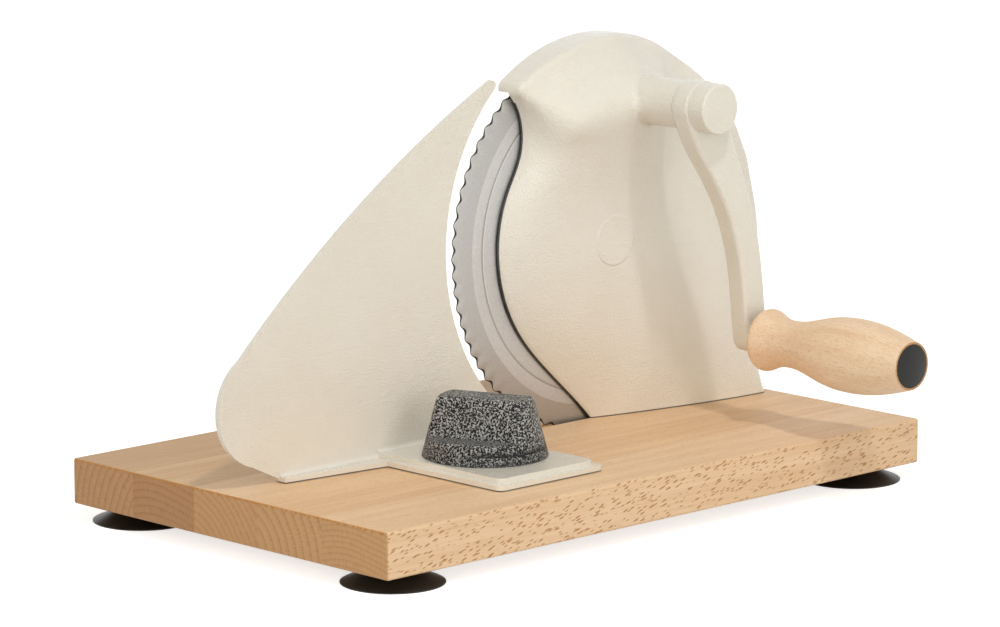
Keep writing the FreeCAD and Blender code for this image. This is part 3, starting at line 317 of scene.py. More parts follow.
@dataclass(frozen=True)
class Beech(Finish):
    """Planed and oiled European beech: pale pink brown, fine straight fibres and short brown ray flecks."""

    grain: Grain = Grain.ALONG_BOARD
    pith: tuple[float, float, float] = (0.0, 0.0, -60.0)    # the middle of the tree's rings
    ring: float = 2.4                   # one year's growth
    year: Stops = ((0.0, "#B0B0B0"), (0.1, "#000000"), (0.5, "#383838"), (0.86, "#B4B4B4"), (0.95, "#FFFFFF"))
    sway: float = 3.5                   # how far the rings stray from true circles
    waves: tuple[float, float, float] = (5.0, 34.0, 34.0)       # in a metre along and across the fibres
    fibres: tuple[float, float, float] = (45.0, 1500.0, 1500.0)
    bands: tuple[float, float, float] = (7.0, 130.0, 130.0)
    streak: tuple[float, float] = (0.7, 1.35)   # fibres and bands together, from pale to dark
    pore_depth: float = 0.05            # of the fibres' open grooves
    early: str = "#E9C8A2"
    late: str = "#D9B085"
    ring_share: float = 0.3             # how strongly the years show on the long faces
    end_ring_share: float = 0.6         # and on the ends
    end_turn: tuple[float, float] = (0.45, 0.8)     # how far a face looks along the grain, from none to all end
    side_turn: tuple[float, float] = (0.3, 0.8)     # and how far sideways, from no flecks to all
    end_early: str = "#CFA06F"
    end_late: str = "#A8794A"
    edge: str = "#BC7C30"               # ochre where the saw and the oil darkened the ends' arris
    arris: float | None = None          # the height of the top, where the ends have that line
    arris_width: float = 5.0            # how far the line strays down
    arris_grain: float = 2.2
    arris_fade: tuple[float, float] = (1.1, 1.9)    # it starts and is full at these heights over the top
    arris_dark: float = 0.85
    ray_count: float = 90.0             # rays in each radian round the pith
    ray_length: float = 5.0
    ray_tone: tuple[float, float] = (-0.2, 0.3)     # how far they lighten and darken it
    fleck: str = "#B9834E"
    fleck_length: float = 7.5           # the cell that holds one dash; the dash fills less than half of it
    fleck_height: float = 1.7
    dashes: Sequence[tuple[float, float, float]] = ((1.0, 17.0, 0.17), (0.75, 13.0, 0.15))  # size, lean, width
    dash_fade: float = 0.12
    fleck_share: float = 1.0
    top_fleck: float = 0.25             # how strongly the flecks show on faces that look up

    def shares(self, add: Adder) -> tuple[Node, Node]:
        """Which faces show end grain, and which show the ray flecks.

        Args:
            add: adds a node to the material.

        Returns:
            The end grain's share and the flecks' share, from the surface's direction.
        """
        turned = add("Mapping", {
            "Vector": add("NewGeometry").outputs["Normal"],
            "Rotation": (0.0, 0.0, math.radians(self.grain.value))}, vector_type="NORMAL")
        parts = add("SeparateXYZ", {0: turned}).outputs
        ends = add("Math", {0: parts["X"]}, operation="ABSOLUTE")
        sides = add("Math", {0: parts["Y"]}, operation="ABSOLUTE")
        return (add("MapRange", {"Value": ends, "From Min": self.end_turn[0], "From Max": self.end_turn[1]}),
                add("MapRange", {"Value": sides, "From Min": self.side_turn[0], "From Max": self.side_turn[1],
                                 "To Min": self.top_fleck}))

    def years(self, add: Adder, along: Node, radius: Node) -> Node:
        """The year rings: 0 in the pale early wood, rising to 1 in the thin late wood.

        Args:
            add: adds a node to the material.
            along: the place from the pith, with the fibres along X.
            radius: the distance from the pith.

        Returns:
            The late wood's share.
        """
        slow = add("Mapping", {"Vector": along, "Scale": self.waves})
        stray = add("TexNoise", {"Vector": slow, "Scale": 1.0, "Detail": 2.0})
        swayed = add("Math", {0: stray, 1: self.sway * MM, 2: radius}, operation="MULTIPLY_ADD")
        count = add("Math", {0: swayed, 1: self.ring * MM}, operation="DIVIDE")
        year = add("Math", {0: count}, operation="FRACT")
        return add("ValToRGB", {"Fac": year}, stops=self.year)

    def rays(self, add: Adder, along: Node, radius: Node) -> Node:
        """A noise that runs out from the pith, as the rays do across the end grain.

        Args:
            add: adds a node to the material.
            along: the place from the pith, with the fibres along X.
            radius: the distance from the pith.

        Returns:
            How much the rays darken the ends.
        """
        parts = add("SeparateXYZ", {0: along}).outputs
        angle = add("Math", {0: parts["Z"], 1: parts["Y"]}, operation="ARCTAN2")
        polar = add("CombineXYZ", {"X": angle, "Y": radius})
        spaced = add("Mapping", {"Vector": polar, "Scale": (self.ray_count, 1 / (self.ray_length * MM), 1.0)})
        pores = add("TexNoise", {"Vector": spaced, "Scale": 1.0, "Detail": 3.0})
        return add("MapRange", {"Value": pores, "From Min": 0.3, "From Max": 0.7,
                                "To Min": self.ray_tone[0], "To Max": self.ray_tone[1]})

    def flecks(self, add: Adder, along: Node) -> Node:
        """Short brown dashes where the rays are cut along, in two sizes.

        Args:
            add: adds a node to the material.
            along: the place from the pith, with the fibres along X.

        Returns:
            The dashes' share.
        """
        made: list[Node] = []
        for stretch, lean, least in self.dashes:
            length, height = self.fleck_length * stretch * MM, self.fleck_height * stretch * MM
            cells = add("Mapping", {"Vector": along, "Rotation": (0.0, math.radians(-lean), 0.0),
                                    "Scale": (length, height, height)}, vector_type="TEXTURE")
            spots = add("TexVoronoi", {"Vector": cells, "Scale": 1.0, "Randomness": 1.0})
            made.append(add("MapRange", {"Value": spots, "From Min": least, "From Max": least + self.dash_fade,
                                         "To Min": 1.0, "To Max": 0.0}))
        return add("Math", {0: made[0], 1: made[1]}, operation="MAXIMUM")

    def arris_share(self, add: Adder, place: NodeSocket) -> Node:
        """A ragged line along the top of the ends, where the oil soaked in deepest.

        Args:
            add: adds a node to the material.
            place: the object coordinates, in metres.

        Returns:
            The line's share.
        """
        height = add("SeparateXYZ", {0: place}).outputs["Z"]
        ragged = add("TexNoise", {"Vector": place, "Scale": 1 / (self.arris_grain * MM), "Detail": 3.0})
        wavy = add("Math", {0: ragged, 1: self.arris_width * MM, 2: height}, operation="MULTIPLY_ADD")
        return add("MapRange", {"Value": wavy, "From Min": (self.arris + self.arris_fade[0]) * MM,
                                "From Max": (self.arris + self.arris_fade[1]) * MM, "To Max": self.arris_dark})

    def surface(self, add: Adder, place: NodeSocket) -> dict[str, Any]:
        """Rings round the pith, fibres along the grain, flecks on the sides and darker end grain.

        Args:
            add: adds a node to the material.
            place: the object coordinates, in metres.

        Returns:
            What each input of the principled shader takes.
        """
        middle = add("VectorMath", {0: place, 1: tuple(v * MM for v in self.pith)}, operation="SUBTRACT")
        along = add("Mapping", {"Vector": middle, "Rotation": (0.0, 0.0, math.radians(self.grain.value))})
        across = add("VectorMath", {0: along, 1: (0.0, 1.0, 1.0)}, operation="MULTIPLY")
        radius = add("VectorMath", {0: across}, operation="LENGTH")
        years = self.years(add, along, radius)
        fine = add("Mapping", {"Vector": along, "Scale": self.fibres})
        fibre = add("TexNoise", {"Vector": fine, "Scale": 1.0, "Detail": 3.0, "Roughness": 0.6})
        broad = add("Mapping", {"Vector": along, "Scale": self.bands})
        band = add("TexNoise", {"Vector": broad, "Scale": 1.0, "Detail": 2.0})
        streak = add("Math", {0: fibre, 1: band}, operation="ADD")
        share = add("MapRange", {"Value": streak, "From Min": self.streak[0], "From Max": self.streak[1]})
        ringed = add("Math", {0: years, 1: self.ring_share, 2: share}, operation="MULTIPLY_ADD", use_clamp=True)
        face = add("Mix", {0: ringed, 6: linear(self.early), 7: linear(self.late)}, data_type="RGBA")
        ends, sides = self.shares(add)
        fleck = add("Math", {0: self.flecks(add, along), 1: sides}, operation="MULTIPLY")
        faint = add("Math", {0: fleck, 1: self.fleck_share}, operation="MULTIPLY")
        flecked = add("Mix", {0: faint, 6: face, 7: linear(self.fleck)}, data_type="RGBA")
        tone = add("Math", {0: years, 1: self.end_ring_share, 2: self.rays(add, along, radius)},
                   operation="MULTIPLY_ADD", use_clamp=True)
        end = add("Mix", {0: tone, 6: linear(self.end_early), 7: linear(self.end_late)}, data_type="RGBA")
        if self.arris:
            end = add("Mix", {0: self.arris_share(add, place), 6: end, 7: linear(self.edge)}, data_type="RGBA")
        colour = add("Mix", {0: ends, 6: flecked, 7: end}, data_type="RGBA")
        bump = add("Bump", {"Height": fibre, "Strength": 0.35, "Distance": self.pore_depth * MM})
        return {"Base Color": colour, "Normal": bump, "Roughness": 0.5, "IOR": 1.45}


@dataclass(frozen=True)
class GroundSteel(Finish):
    """Stainless knife steel, ground in rings and finely across the bevel: a soft silky grey, with painted shade on
    the whetted facet along the edge and in the ring groove.
    """

    axle: tuple[float, float] = (68.15, 119.4)
    bevel_radius: float = 82.5
    ring_radius: float = 75.8
    teeth: int = 72
    scallop_depth: float = 1.4
    edge_radius: float = 95.0
    rim_shade_point: float = 0.35             # width of the painted shade on the whetted facet at a scallop's point
    rim_shade_hollow: float = 1.35            # and in its hollow
    groove_shade_fade: tuple[float, float] = (0.1, 0.6)             # painted shade in the ring groove, fading out between these distances off its middle
    groove_shade_dark: float = 0.9
    scratches: tuple[float, float, float] = (2200.0, 2.0, 1.0)      # in a metre out and in a radian round
    strokes: tuple[float, float, float] = (900.0, 190.0, 1.0)
    scratch_depth: float = 0.02
    roughness: tuple[float, float] = (0.4, 0.52)    # along the scratches
    mottle: float = 0.9
    patches: tuple[float, float] = (0.9, 1.06)      # how the mottle darkens and lightens it
    face: str = "#C9C8C6"
    bevel: str = "#B6B4B1"
    # painted shade on the whetted facet, which faces away from the light
    rim_shade: str = "#35332F"
    # painted shade in the ring groove
    ring: str = "#9C9A97"

    def surface(self, add: Adder, place: NodeSocket) -> dict[str, Any]:
        """Ring scratches inside, short scratches towards the edge on the bevel, painted shade on the sharpened facet
        along the edge and in the ring groove.

        Args:
            add: adds a node to the material.
            place: the object coordinates, in metres.

        Returns:
            What each input of the principled shader takes.
        """
        flat, far = off_axle(add, place, self.axle)
        parts = add("SeparateXYZ", {0: flat}).outputs
        angle = add("Math", {0: parts["Z"], 1: parts["X"]}, operation="ARCTAN2")
        polar = add("CombineXYZ", {"X": far, "Y": angle})
        ring, stroke = (add("TexNoise", {
            "Vector": add("Mapping", {"Vector": polar, "Scale": scale}), "Scale": 1.0, "Detail": 3.0})
            for scale in (self.scratches, self.strokes))
        on_bevel = add("MapRange", {"Value": far, "From Min": (self.bevel_radius - 0.1) * MM,
                                    "From Max": (self.bevel_radius + 0.1) * MM})
        scratch = add("Mix", {0: on_bevel, 2: ring, 3: stroke})
        # painted shade on the whetted facet along the edge
        in_rim_shade = add("MapRange", {"Value": self.rim_shade_reach(add, far, angle), "From Min": 0.5, "From Max": 1.0,
                                  "To Min": 1.0, "To Max": 0.0})
        tone = add("Mix", {0: on_bevel, 6: linear(self.face), 7: linear(self.bevel)}, data_type="RGBA")
        # painted shade in the ring groove
        off_ring = add("Math", {0: far, 1: -self.ring_radius * MM}, operation="ADD")
        near = add("Math", {0: off_ring}, operation="ABSOLUTE")
        in_groove_shade = add("MapRange", {"Value": near, "From Min": self.groove_shade_fade[0] * MM,
                                   "From Max": self.groove_shade_fade[1] * MM, "To Min": self.groove_shade_dark, "To Max": 0.0})
        groove_shaded = add("Mix", {0: in_groove_shade, 6: tone, 7: linear(self.ring)}, data_type="RGBA")
        mottle = add("TexNoise", {"Vector": place, "Scale": 1 / (self.mottle * MM), "Detail": 3.0, "Roughness": 0.7})
        dull = add("MapRange", {"Value": mottle, "From Min": 0.3, "From Max": 0.7,
                                "To Min": self.patches[0], "To Max": self.patches[1]})
        toned = add("VectorMath", {0: groove_shaded, 1: dull}, operation="MULTIPLY")
        colour = add("Mix", {0: in_rim_shade, 6: toned, 7: linear(self.rim_shade)}, data_type="RGBA")
        bump = add("Bump", {"Height": scratch, "Strength": 0.12, "Distance": self.scratch_depth * MM})
        rough = add("MapRange", {"Value": scratch, "From Min": 0.3, "From Max": 0.7,
                                 "To Min": self.roughness[0], "To Max": self.roughness[1]})
        return {"Base Color": colour, "Roughness": rough, "Normal": bump, "Metallic": 1.0}

    def rim_shade_reach(self, add: Adder, far: Node, angle: Node) -> Node:
        """Measures from the scalloped edge in widths of the painted shade on its facet.

        Args:
            add: adds a node to the material.
            far: the distance from the axle.
            angle: the turn round it.

        Returns:
            0 on the edge and 1 where the facet ends.
        """
        turn = add("Math", {0: angle, 1: -self.teeth}, operation="MULTIPLY")
        wave = add("Math", {0: turn}, operation="COSINE")
        half = self.scallop_depth / 2
        edge = add("Math", {0: wave, 1: half * MM, 2: (self.edge_radius - half) * MM}, operation="MULTIPLY_ADD")
        inward = add("Math", {0: edge, 1: far}, operation="SUBTRACT")
        width = add("Math", {0: wave, 1: (self.rim_shade_point - self.rim_shade_hollow) / 2 * MM,
                             2: (self.rim_shade_point + self.rim_shade_hollow) / 2 * MM}, operation="MULTIPLY_ADD")
        return add("Math", {0: inward, 1: width}, operation="DIVIDE")


@dataclass(frozen=True)
class SparkedPlastic(Finish):
    """Black nylon from a spark eroded mould: dark grey with a coarse pale speckle that catches the light."""

    pit: str = "#0C0C0C"
    ground: str = "#303030"
    speck: str = "#B4B3B1"
    grit: float = 0.85
    relief: float = 0.12
    centre: tuple[float, float, float] = (-50.0, -39.0, 30.0)   # where its foot stands
    turn: float = -67.0                 # the bar's direction
    ledge: float = 9.5                  # the skirt's height, where the bar starts
    crease_shade: float = 3.0                 # height of the painted shade in the groove above the ledge, under the bar
    crease_shade_full: float = 0.4            # it is darkest this far above it
    crease_shade_start: float = 0.1           # and starts here
    crease_shade_dark: float = 0.93
    crease_shade_reach: float = 21.0          # half its length along the bar
    crease_shade_fade: float = 6.0
    tone_top: float = 18.0               # the knob darkens towards its foot and keeps its full tone above this height
    foot_tone: float = 0.45                 # the share of its tone that is left at the foot
    curl: float = 0.6                   # how worm-like the specks are

    def surface(self, add: Adder, place: NodeSocket) -> dict[str, Any]:
        """Worm-like specks from a turbulent noise, raised a little above the ground, with painted shade in the groove
        above the ledge, darker towards the foot.

        Args:
            add: adds a node to the material.
            place: the object coordinates, in metres.

        Returns:
            What each input of the principled shader takes.
        """
        worms = add("TexNoise", {
            "Vector": place, "Scale": 1 / (self.grit * MM), "Detail": 1.0, "Distortion": self.curl})
        colour = add("ValToRGB", {"Fac": worms}, stops=((0.38, self.pit), (0.5, self.ground), (0.6, self.speck)))
        bump = add("Bump", {"Height": worms, "Strength": 0.7, "Distance": self.relief * MM})
        moved = add("VectorMath", {0: place, 1: tuple(v * MM for v in self.centre)}, operation="SUBTRACT")
        turned = add("Mapping", {"Vector": moved, "Rotation": (0.0, 0.0, math.radians(-self.turn))})
        parts = add("SeparateXYZ", {0: turned}).outputs
        # darker towards the foot
        pale = add("MapRange", {"Value": parts["Z"], "From Max": self.tone_top * MM, "To Min": self.foot_tone})
        # painted shade in the groove above the ledge, under the bar
        high = add("MapRange", {
            "Value": parts["Z"], "From Min": (self.ledge + self.crease_shade) * MM,
            "From Max": (self.ledge + self.crease_shade_full) * MM, "To Max": self.crease_shade_dark})
        low = add("Math", {0: parts["Z"], 1: (self.ledge + self.crease_shade_start) * MM}, operation="GREATER_THAN")
        aside = add("Math", {0: parts["X"]}, operation="ABSOLUTE")
        within = add("MapRange", {"Value": aside, "From Min": self.crease_shade_reach * MM,
                                  "From Max": (self.crease_shade_reach - self.crease_shade_fade) * MM})
        above = add("Math", {0: high, 1: low}, operation="MULTIPLY")
        dark = add("Math", {0: above, 1: within}, operation="MULTIPLY")
        left = add("Math", {0: 1.0, 1: dark}, operation="SUBTRACT")
        kept = add("Math", {0: left, 1: pale}, operation="MULTIPLY")
        toned = add("VectorMath", {0: colour, 1: kept}, operation="MULTIPLY")
        return {"Base Color": toned, "Normal": bump, "Roughness": 0.42, "Specular IOR Level": 0.2}


@dataclass(frozen=True)
class PlainPlastic(Finish):
    """Moulded polymer or rubber with a faint grain: an even dark satin."""

    colour: str = "#3A3938"
    worn: str = "#454341"
    rough: float = 0.38
    shine: float = 0.5                  # how much it mirrors at a square look
    grain: float = 0.6
    relief: float = 0.02
    clouds: float = 90.0                # clouds of tone in a metre

    def surface(self, add: Adder, place: NodeSocket) -> dict[str, Any]:
        """A fine mould grain as bump and a slow drift of tone.

        Args:
            add: adds a node to the material.
            place: the object coordinates, in metres.

        Returns:
            What each input of the principled shader takes.
        """
        grain = add("TexNoise", {"Vector": place, "Scale": 1 / (self.grain * MM), "Detail": 2.0})
        drift = add("TexNoise", {"Vector": place, "Scale": self.clouds, "Detail": 3.0})
        colour = add("ValToRGB", {"Fac": drift}, stops=((0.35, self.colour), (0.75, self.worn)))
        bump = add("Bump", {"Height": grain, "Strength": 0.5, "Distance": self.relief * MM})
        return {"Base Color": colour, "Normal": bump, "Roughness": self.rough, "Specular IOR Level": self.shine}


@dataclass(frozen=True)
class BareMetal(Finish):
    """Plated, cast or turned metal: an even satin with a fine mottle."""

    colour: str = "#B9BBBD"
    dull: str = "#989A9C"
    rough: float = 0.34
    mottle: float = 2.2

    def surface(self, add: Adder, place: NodeSocket) -> dict[str, Any]:
        """A mottled tone and roughness, as plating and oil leave them.

        Args:
            add: adds a node to the material.
            place: the object coordinates, in metres.

        Returns:
            What each input of the principled shader takes.
        """
        mottle = add("TexNoise", {"Vector": place, "Scale": 1 / (self.mottle * MM), "Detail": 4.0, "Roughness": 0.6})
        colour = add("ValToRGB", {"Fac": mottle}, stops=((0.35, self.dull), (0.65, self.colour)))
        rough = add("MapRange", {"Value": mottle, "From Min": 0.3, "From Max": 0.7,
                                 "To Min": self.rough + 0.08, "To Max": self.rough - 0.04})
        return {"Base Color": colour, "Roughness": rough, "Metallic": 1.0}


ENAMEL = CastEnamel("stove_enamel_cream")
# plated parts are an even pale grey; milled teeth hold oil and look darker; sintered bronze is porous, brown
# and matt; turned brass is bright and yellow
ZINC = BareMetal("zinc_plated_steel")
GEAR = BareMetal("milled_gear_steel", colour="#9A9895", dull="#7D7A76", rough=0.4)
BRONZE = BareMetal("sintered_bronze", colour="#B98A55", dull="#94693C", rough=0.42, mottle=0.8)
BRASS = BareMetal("turned_brass", colour="#D2B36C", dull="#B4934C", rough=0.3)
# rubber is nearly black with a soft broad shine; the cap mirrors less than its satin skin suggests
RUBBER = PlainPlastic("moulded_suction_rubber", colour="#14110E", worn="#1F1B17", rough=0.36, grain=0.9)
CAP = PlainPlastic("satin_cap_plastic", colour="#262625", worn="#2F2F2D", rough=0.42, shine=0.25)
KNOB = SparkedPlastic("spark_grained_nylon")
# the grip is turned from pale, quietly grown beech, so its rings hardly show
GRIP = Beech("turned_beech", grain=Grain.ALONG_GRIP, pith=(100.0, 0.0, 40.0), early="#FDE3C5", late="#EBC5A0",
             ring_share=0.1, fleck="#D3A67A", fleck_length=4.6, fleck_height=0.8, fleck_share=0.55, top_fleck=0.6)


# ------------------------------------------------------------------------------------------ makers
def shade(mesh: Mesh) -> None:
    """Leaves a mesh smooth except across its sharp edges.

    Args:
        mesh: the mesh, with smooth faces.
    """
    for layer in ("custom_normal", "sharp_face", "sharp_edge"):
        if layer in mesh.attributes:
            mesh.attributes.remove(mesh.attributes[layer])
    mesh.set_sharp_from_angle(angle=CREASE)


def smooth_copy(node: str, name: str) -> Object:
    """Copies a node of the frame with its corners merged and its round faces shaded smooth.

    Args:
        node: the frame's node.
        name: the new piece's name.

    Returns:
        The new object.
    """
    mesh = bpy.data.objects[node].data.copy()
    mesh.materials.clear()
    shape = bmesh.new()
    shape.from_mesh(mesh)
    bmesh.ops.remove_doubles(shape, verts=shape.verts, dist=MERGE)
    bmesh.ops.dissolve_degenerate(shape, edges=shape.edges, dist=SLIVER)
    for face in shape.faces:
        face.smooth = True
    shape.to_mesh(mesh)
    shape.free()
    shade(mesh)
    mesh.name = name
    return link_object(name, mesh)


def dress_copy(node: str, ending: str, body: Body, finish: Finish) -> None:
    """Replaces a node of the frame by a smooth, finished copy.

    Args:
        node: the frame's node.
        ending: how it was made, for the end of the copy's name.
        body: the group that it rides on.
        finish: its surface.
    """
    settle(smooth_copy(node, f"{node}_{ending}"), body, node, finish.material())


def turned_tree() -> NodeTree:
    """Builds the tree that turns a drawn profile about its axis and sets it at each marked place.

    The object's own mesh holds the profile's points in order, as (radius, 0, height), followed by the places,
    whose "place" attribute is true.

    Returns:
        The node tree, with its sizes as named inputs.
    """
    tree = bpy.data.node_groups.new("turned_at_places", "GeometryNodeTree")
    for name, kind in (("Drawing", "Geometry"), ("Segments", "Int"), ("Axis Turn", "Rotation"), ("Teeth", "Int"),
                       ("Scallop Depth", "Float"), ("Scallop From Radius", "Float"), ("Outer Radius", "Float"),
                       ("Finish", "Material")):
        tree.interface.new_socket(name, in_out="INPUT", socket_type=f"NodeSocket{kind}")
    tree.interface.new_socket("Pieces", in_out="OUTPUT", socket_type="NodeSocketGeometry")
    add = partial(add_node, tree)
    entry = add("NodeGroupInput").outputs
    marked = add("GeometryNodeInputNamedAttribute", {"Name": "place"}, data_type="BOOLEAN")
    places, profile = add("GeometryNodeSeparateGeometry", {"Geometry": entry["Drawing"], "Selection": marked}).outputs
    count = add("GeometryNodeAttributeDomainSize", {"Geometry": profile}).outputs["Point Count"]
    columns = add("Math", {0: entry["Segments"], 1: 1.0}, operation="ADD")
    sheet = add("GeometryNodeMeshGrid", {"Size X": 1.0, "Size Y": 1.0, "Vertices X": columns, "Vertices Y": count})
    index = add("GeometryNodeInputIndex")
    row = add("Math", {0: index, 1: count}, operation="MODULO")
    turn = add("Math", {0: index, 1: count}, operation="DIVIDE")
    column = add("Math", {0: turn}, operation="FLOOR")
    share = add("Math", {0: column, 1: entry["Segments"]}, operation="DIVIDE")
    angle = add("Math", {0: share, 1: math.tau}, operation="MULTIPLY")
    drawn = add("GeometryNodeSampleIndex", {
        "Geometry": profile, "Value": add("GeometryNodeInputPosition"), "Index": row}, data_type="FLOAT_VECTOR")
    point = add("SeparateXYZ", {0: drawn}).outputs
    # a scallop is a round hollow between two rounded points; it fades to nothing at the radius where it starts
    tooth = add("Math", {0: angle, 1: entry["Teeth"]}, operation="MULTIPLY")
    wave = add("Math", {0: tooth}, operation="COSINE")
    hollow = add("Math", {0: wave, 1: -0.5, 2: 0.5}, operation="MULTIPLY_ADD")
    near = add("MapRange", {"Value": point["X"], "From Min": entry["Scallop From Radius"],
                            "From Max": entry["Outer Radius"]})
    depth = add("Math", {0: hollow, 1: near}, operation="MULTIPLY")
    loss = add("Math", {0: depth, 1: entry["Scallop Depth"]}, operation="MULTIPLY")
    radius = add("Math", {0: point["X"], 1: loss}, operation="SUBTRACT")
    x, y = (add("Math", {0: radius, 1: add("Math", {0: angle}, operation=way)}, operation="MULTIPLY")
            for way in ("COSINE", "SINE"))
    spot = add("CombineXYZ", {"X": x, "Y": y, "Z": point["Z"]})
    turned = add("GeometryNodeSetPosition", {"Geometry": sheet, "Position": spot})
    whole = add("GeometryNodeMergeByDistance", {"Geometry": turned, "Distance": MERGE})
    smooth = add("GeometryNodeSetShadeSmooth", {"Geometry": whole, "Shade Smooth": True})
    placed = add("GeometryNodeInstanceOnPoints", {
        "Points": places, "Instance": smooth, "Rotation": entry["Axis Turn"]})
    real = add("GeometryNodeRealizeInstances", {"Geometry": placed})
    dressed = add("GeometryNodeSetMaterial", {"Geometry": real, "Material": entry["Finish"]})
    add("NodeGroupOutput", {"Pieces": dressed})
    return tree


@dataclass
class Turned:
    """Pieces of one turned shape, made by the shared tree and set at their places."""

    name: str
    profile: Sequence[tuple[float, float]]      # (radius, height) in order, closed where the last is the first
    places: Sequence[tuple[float, float, float]]
    axis_turn: float                            # the turn in degrees about X that lays the axis level
    segments: int
    teeth: int
    scallop_depth: float
    scallop_from: float                         # the radius where the scallops start
    outer: float

    def build(self, finish: Material) -> Object:
        """Draws the profile, runs the tree and keeps its result as a plain mesh.

        Args:
            finish: the material of every piece.

        Returns:
            The new object, at the origin.
        """
        tree = bpy.data.node_groups.get("turned_at_places") or turned_tree()
        points = [(r * MM, 0.0, h * MM) for r, h in self.profile]
        spots = [tuple(v * MM for v in place) for place in self.places]
        drawing = bpy.data.meshes.new(self.name + "_drawing")
        drawing.from_pydata(points + spots, [], [])
        marks = drawing.attributes.new("place", "BOOLEAN", "POINT")
        marks.data.foreach_set("value", [False] * len(points) + [True] * len(spots))
        holder = link_object(self.name + "_drawing", drawing)
        run = holder.modifiers.new("turned", "NODES")
        run.node_group = tree
        names = {item.name: item.identifier for item in tree.interface.items_tree if item.in_out == "INPUT"}
        for name, value in {
                "Segments": self.segments, "Axis Turn": (math.radians(self.axis_turn), 0.0, 0.0),
                "Teeth": self.teeth, "Scallop Depth": self.scallop_depth * MM,
                "Scallop From Radius": self.scallop_from * MM, "Outer Radius": self.outer * MM,
                "Finish": finish}.items():
            run[names[name]] = value
        holder.update_tag()
        sight = bpy.context.evaluated_depsgraph_get()
        mesh = bpy.data.meshes.new_from_object(holder.evaluated_get(sight))
        holder.modifiers.clear()
        bpy.data.objects.remove(holder)
        mesh.name = self.name
        shape = bmesh.new()
        shape.from_mesh(mesh)
        bmesh.ops.remove_doubles(shape, verts=shape.verts, dist=MERGE)
        bmesh.ops.recalc_face_normals(shape, faces=shape.faces)
        shape.to_mesh(mesh)
        shape.free()
        shade(mesh)
        return link_object(self.name, mesh)


# ---------------------------------------------------------------------------------- sub-assemblies
@dataclass
class Board:
    """Five beech staves glued edge to edge, front to back, each cut from its own part of a tree."""

    piths: tuple[tuple[float, float], ...] = ((-60.0, -61.0), (14.0, 4.0), (62.0, -20.0), (74.0, -58.0), (56.0, -3.0))
    pith_step: float = 17.0             # from one stave's cut along the tree to the next one's
    rings: tuple[float, ...] = (2.7, 5.0, 3.4, 3.6, 4.2)
    # the last two staves are darker partly for their own wood and partly as painted shade, for the shadow that the
    # guide plate casts on the board behind it
    early: tuple[str, ...] = ("#F5D4AF", "#F2CEA5", "#F2D0A8", "#E3C095", "#D6B085")
    late: tuple[str, ...] = ("#E6BF95", "#E2B68A", "#E2B98E", "#D1A77A", "#C69B6E")
    end_early: tuple[str, ...] = ("#CFA06F", "#D0A170", "#CC9C6B", "#BA8A5B", "#C49465")
    end_late: tuple[str, ...] = ("#B08053", "#A97748", "#AB7A4C", "#996A40", "#9C6E43")
    top_z: float = 30.0

    def dress(self) -> None:
        """Replaces each stave by a smooth copy with its own wood."""
        for index, (y, z) in enumerate(self.piths):
            node = f"board_stave_{index + 1}"
            wood = Beech(f"beech_stave_{index + 1}", pith=(self.pith_step * index, y, z), ring=self.rings[index],
                         early=self.early[index], late=self.late[index], end_early=self.end_early[index],
                         end_late=self.end_late[index], arris=self.top_z)
            dress_copy(node, "planed", Body.STAND, wood)


@dataclass
class SuctionFeet:
    """Four rubber suction cups with their screws and washers."""

    names: tuple[str, ...] = ("front_left", "front_right", "back_left", "back_right")

    def dress(self) -> None:
        """Gives the cups their rubber and the screws and washers their plating."""
        for name in self.names:
            dress_copy(f"suction_foot_{name}", "moulded", Body.STAND, RUBBER)
        for node in ("foot_screws", "foot_washers"):
            dress_copy(node, "plated", Body.STAND, ZINC)


@dataclass
class Housing:
    """The enamelled casting that carries the blade and the crank, with what is fixed in it."""

    axle: tuple[float, float] = (68.15, 119.4)
    edge_front: float = 28.05           # the front of the casting's thin edge along the blade
    gap_shade_inset: float = 0.25           # the painted shade in the gap beside the blade starts this far behind it

    def dress(self) -> None:
        """Dresses the casting, its screws, its bushes, the axle and the blade's screw."""
        enamel = CastEnamel("stove_enamel_cream_housing", mark_centre=self.axle,
                            gap_shade_from=self.edge_front + self.gap_shade_inset)
        dress_copy("housing", "casting", Body.STAND, enamel)
        for node in ("housing_screws", "blade_axle", "blade_screw"):
            dress_copy(node, "plated", Body.STAND, ZINC)
        for node in ("crank_bush_front", "crank_bush_rear"):
            dress_copy(node, "sintered", Body.STAND, BRONZE)


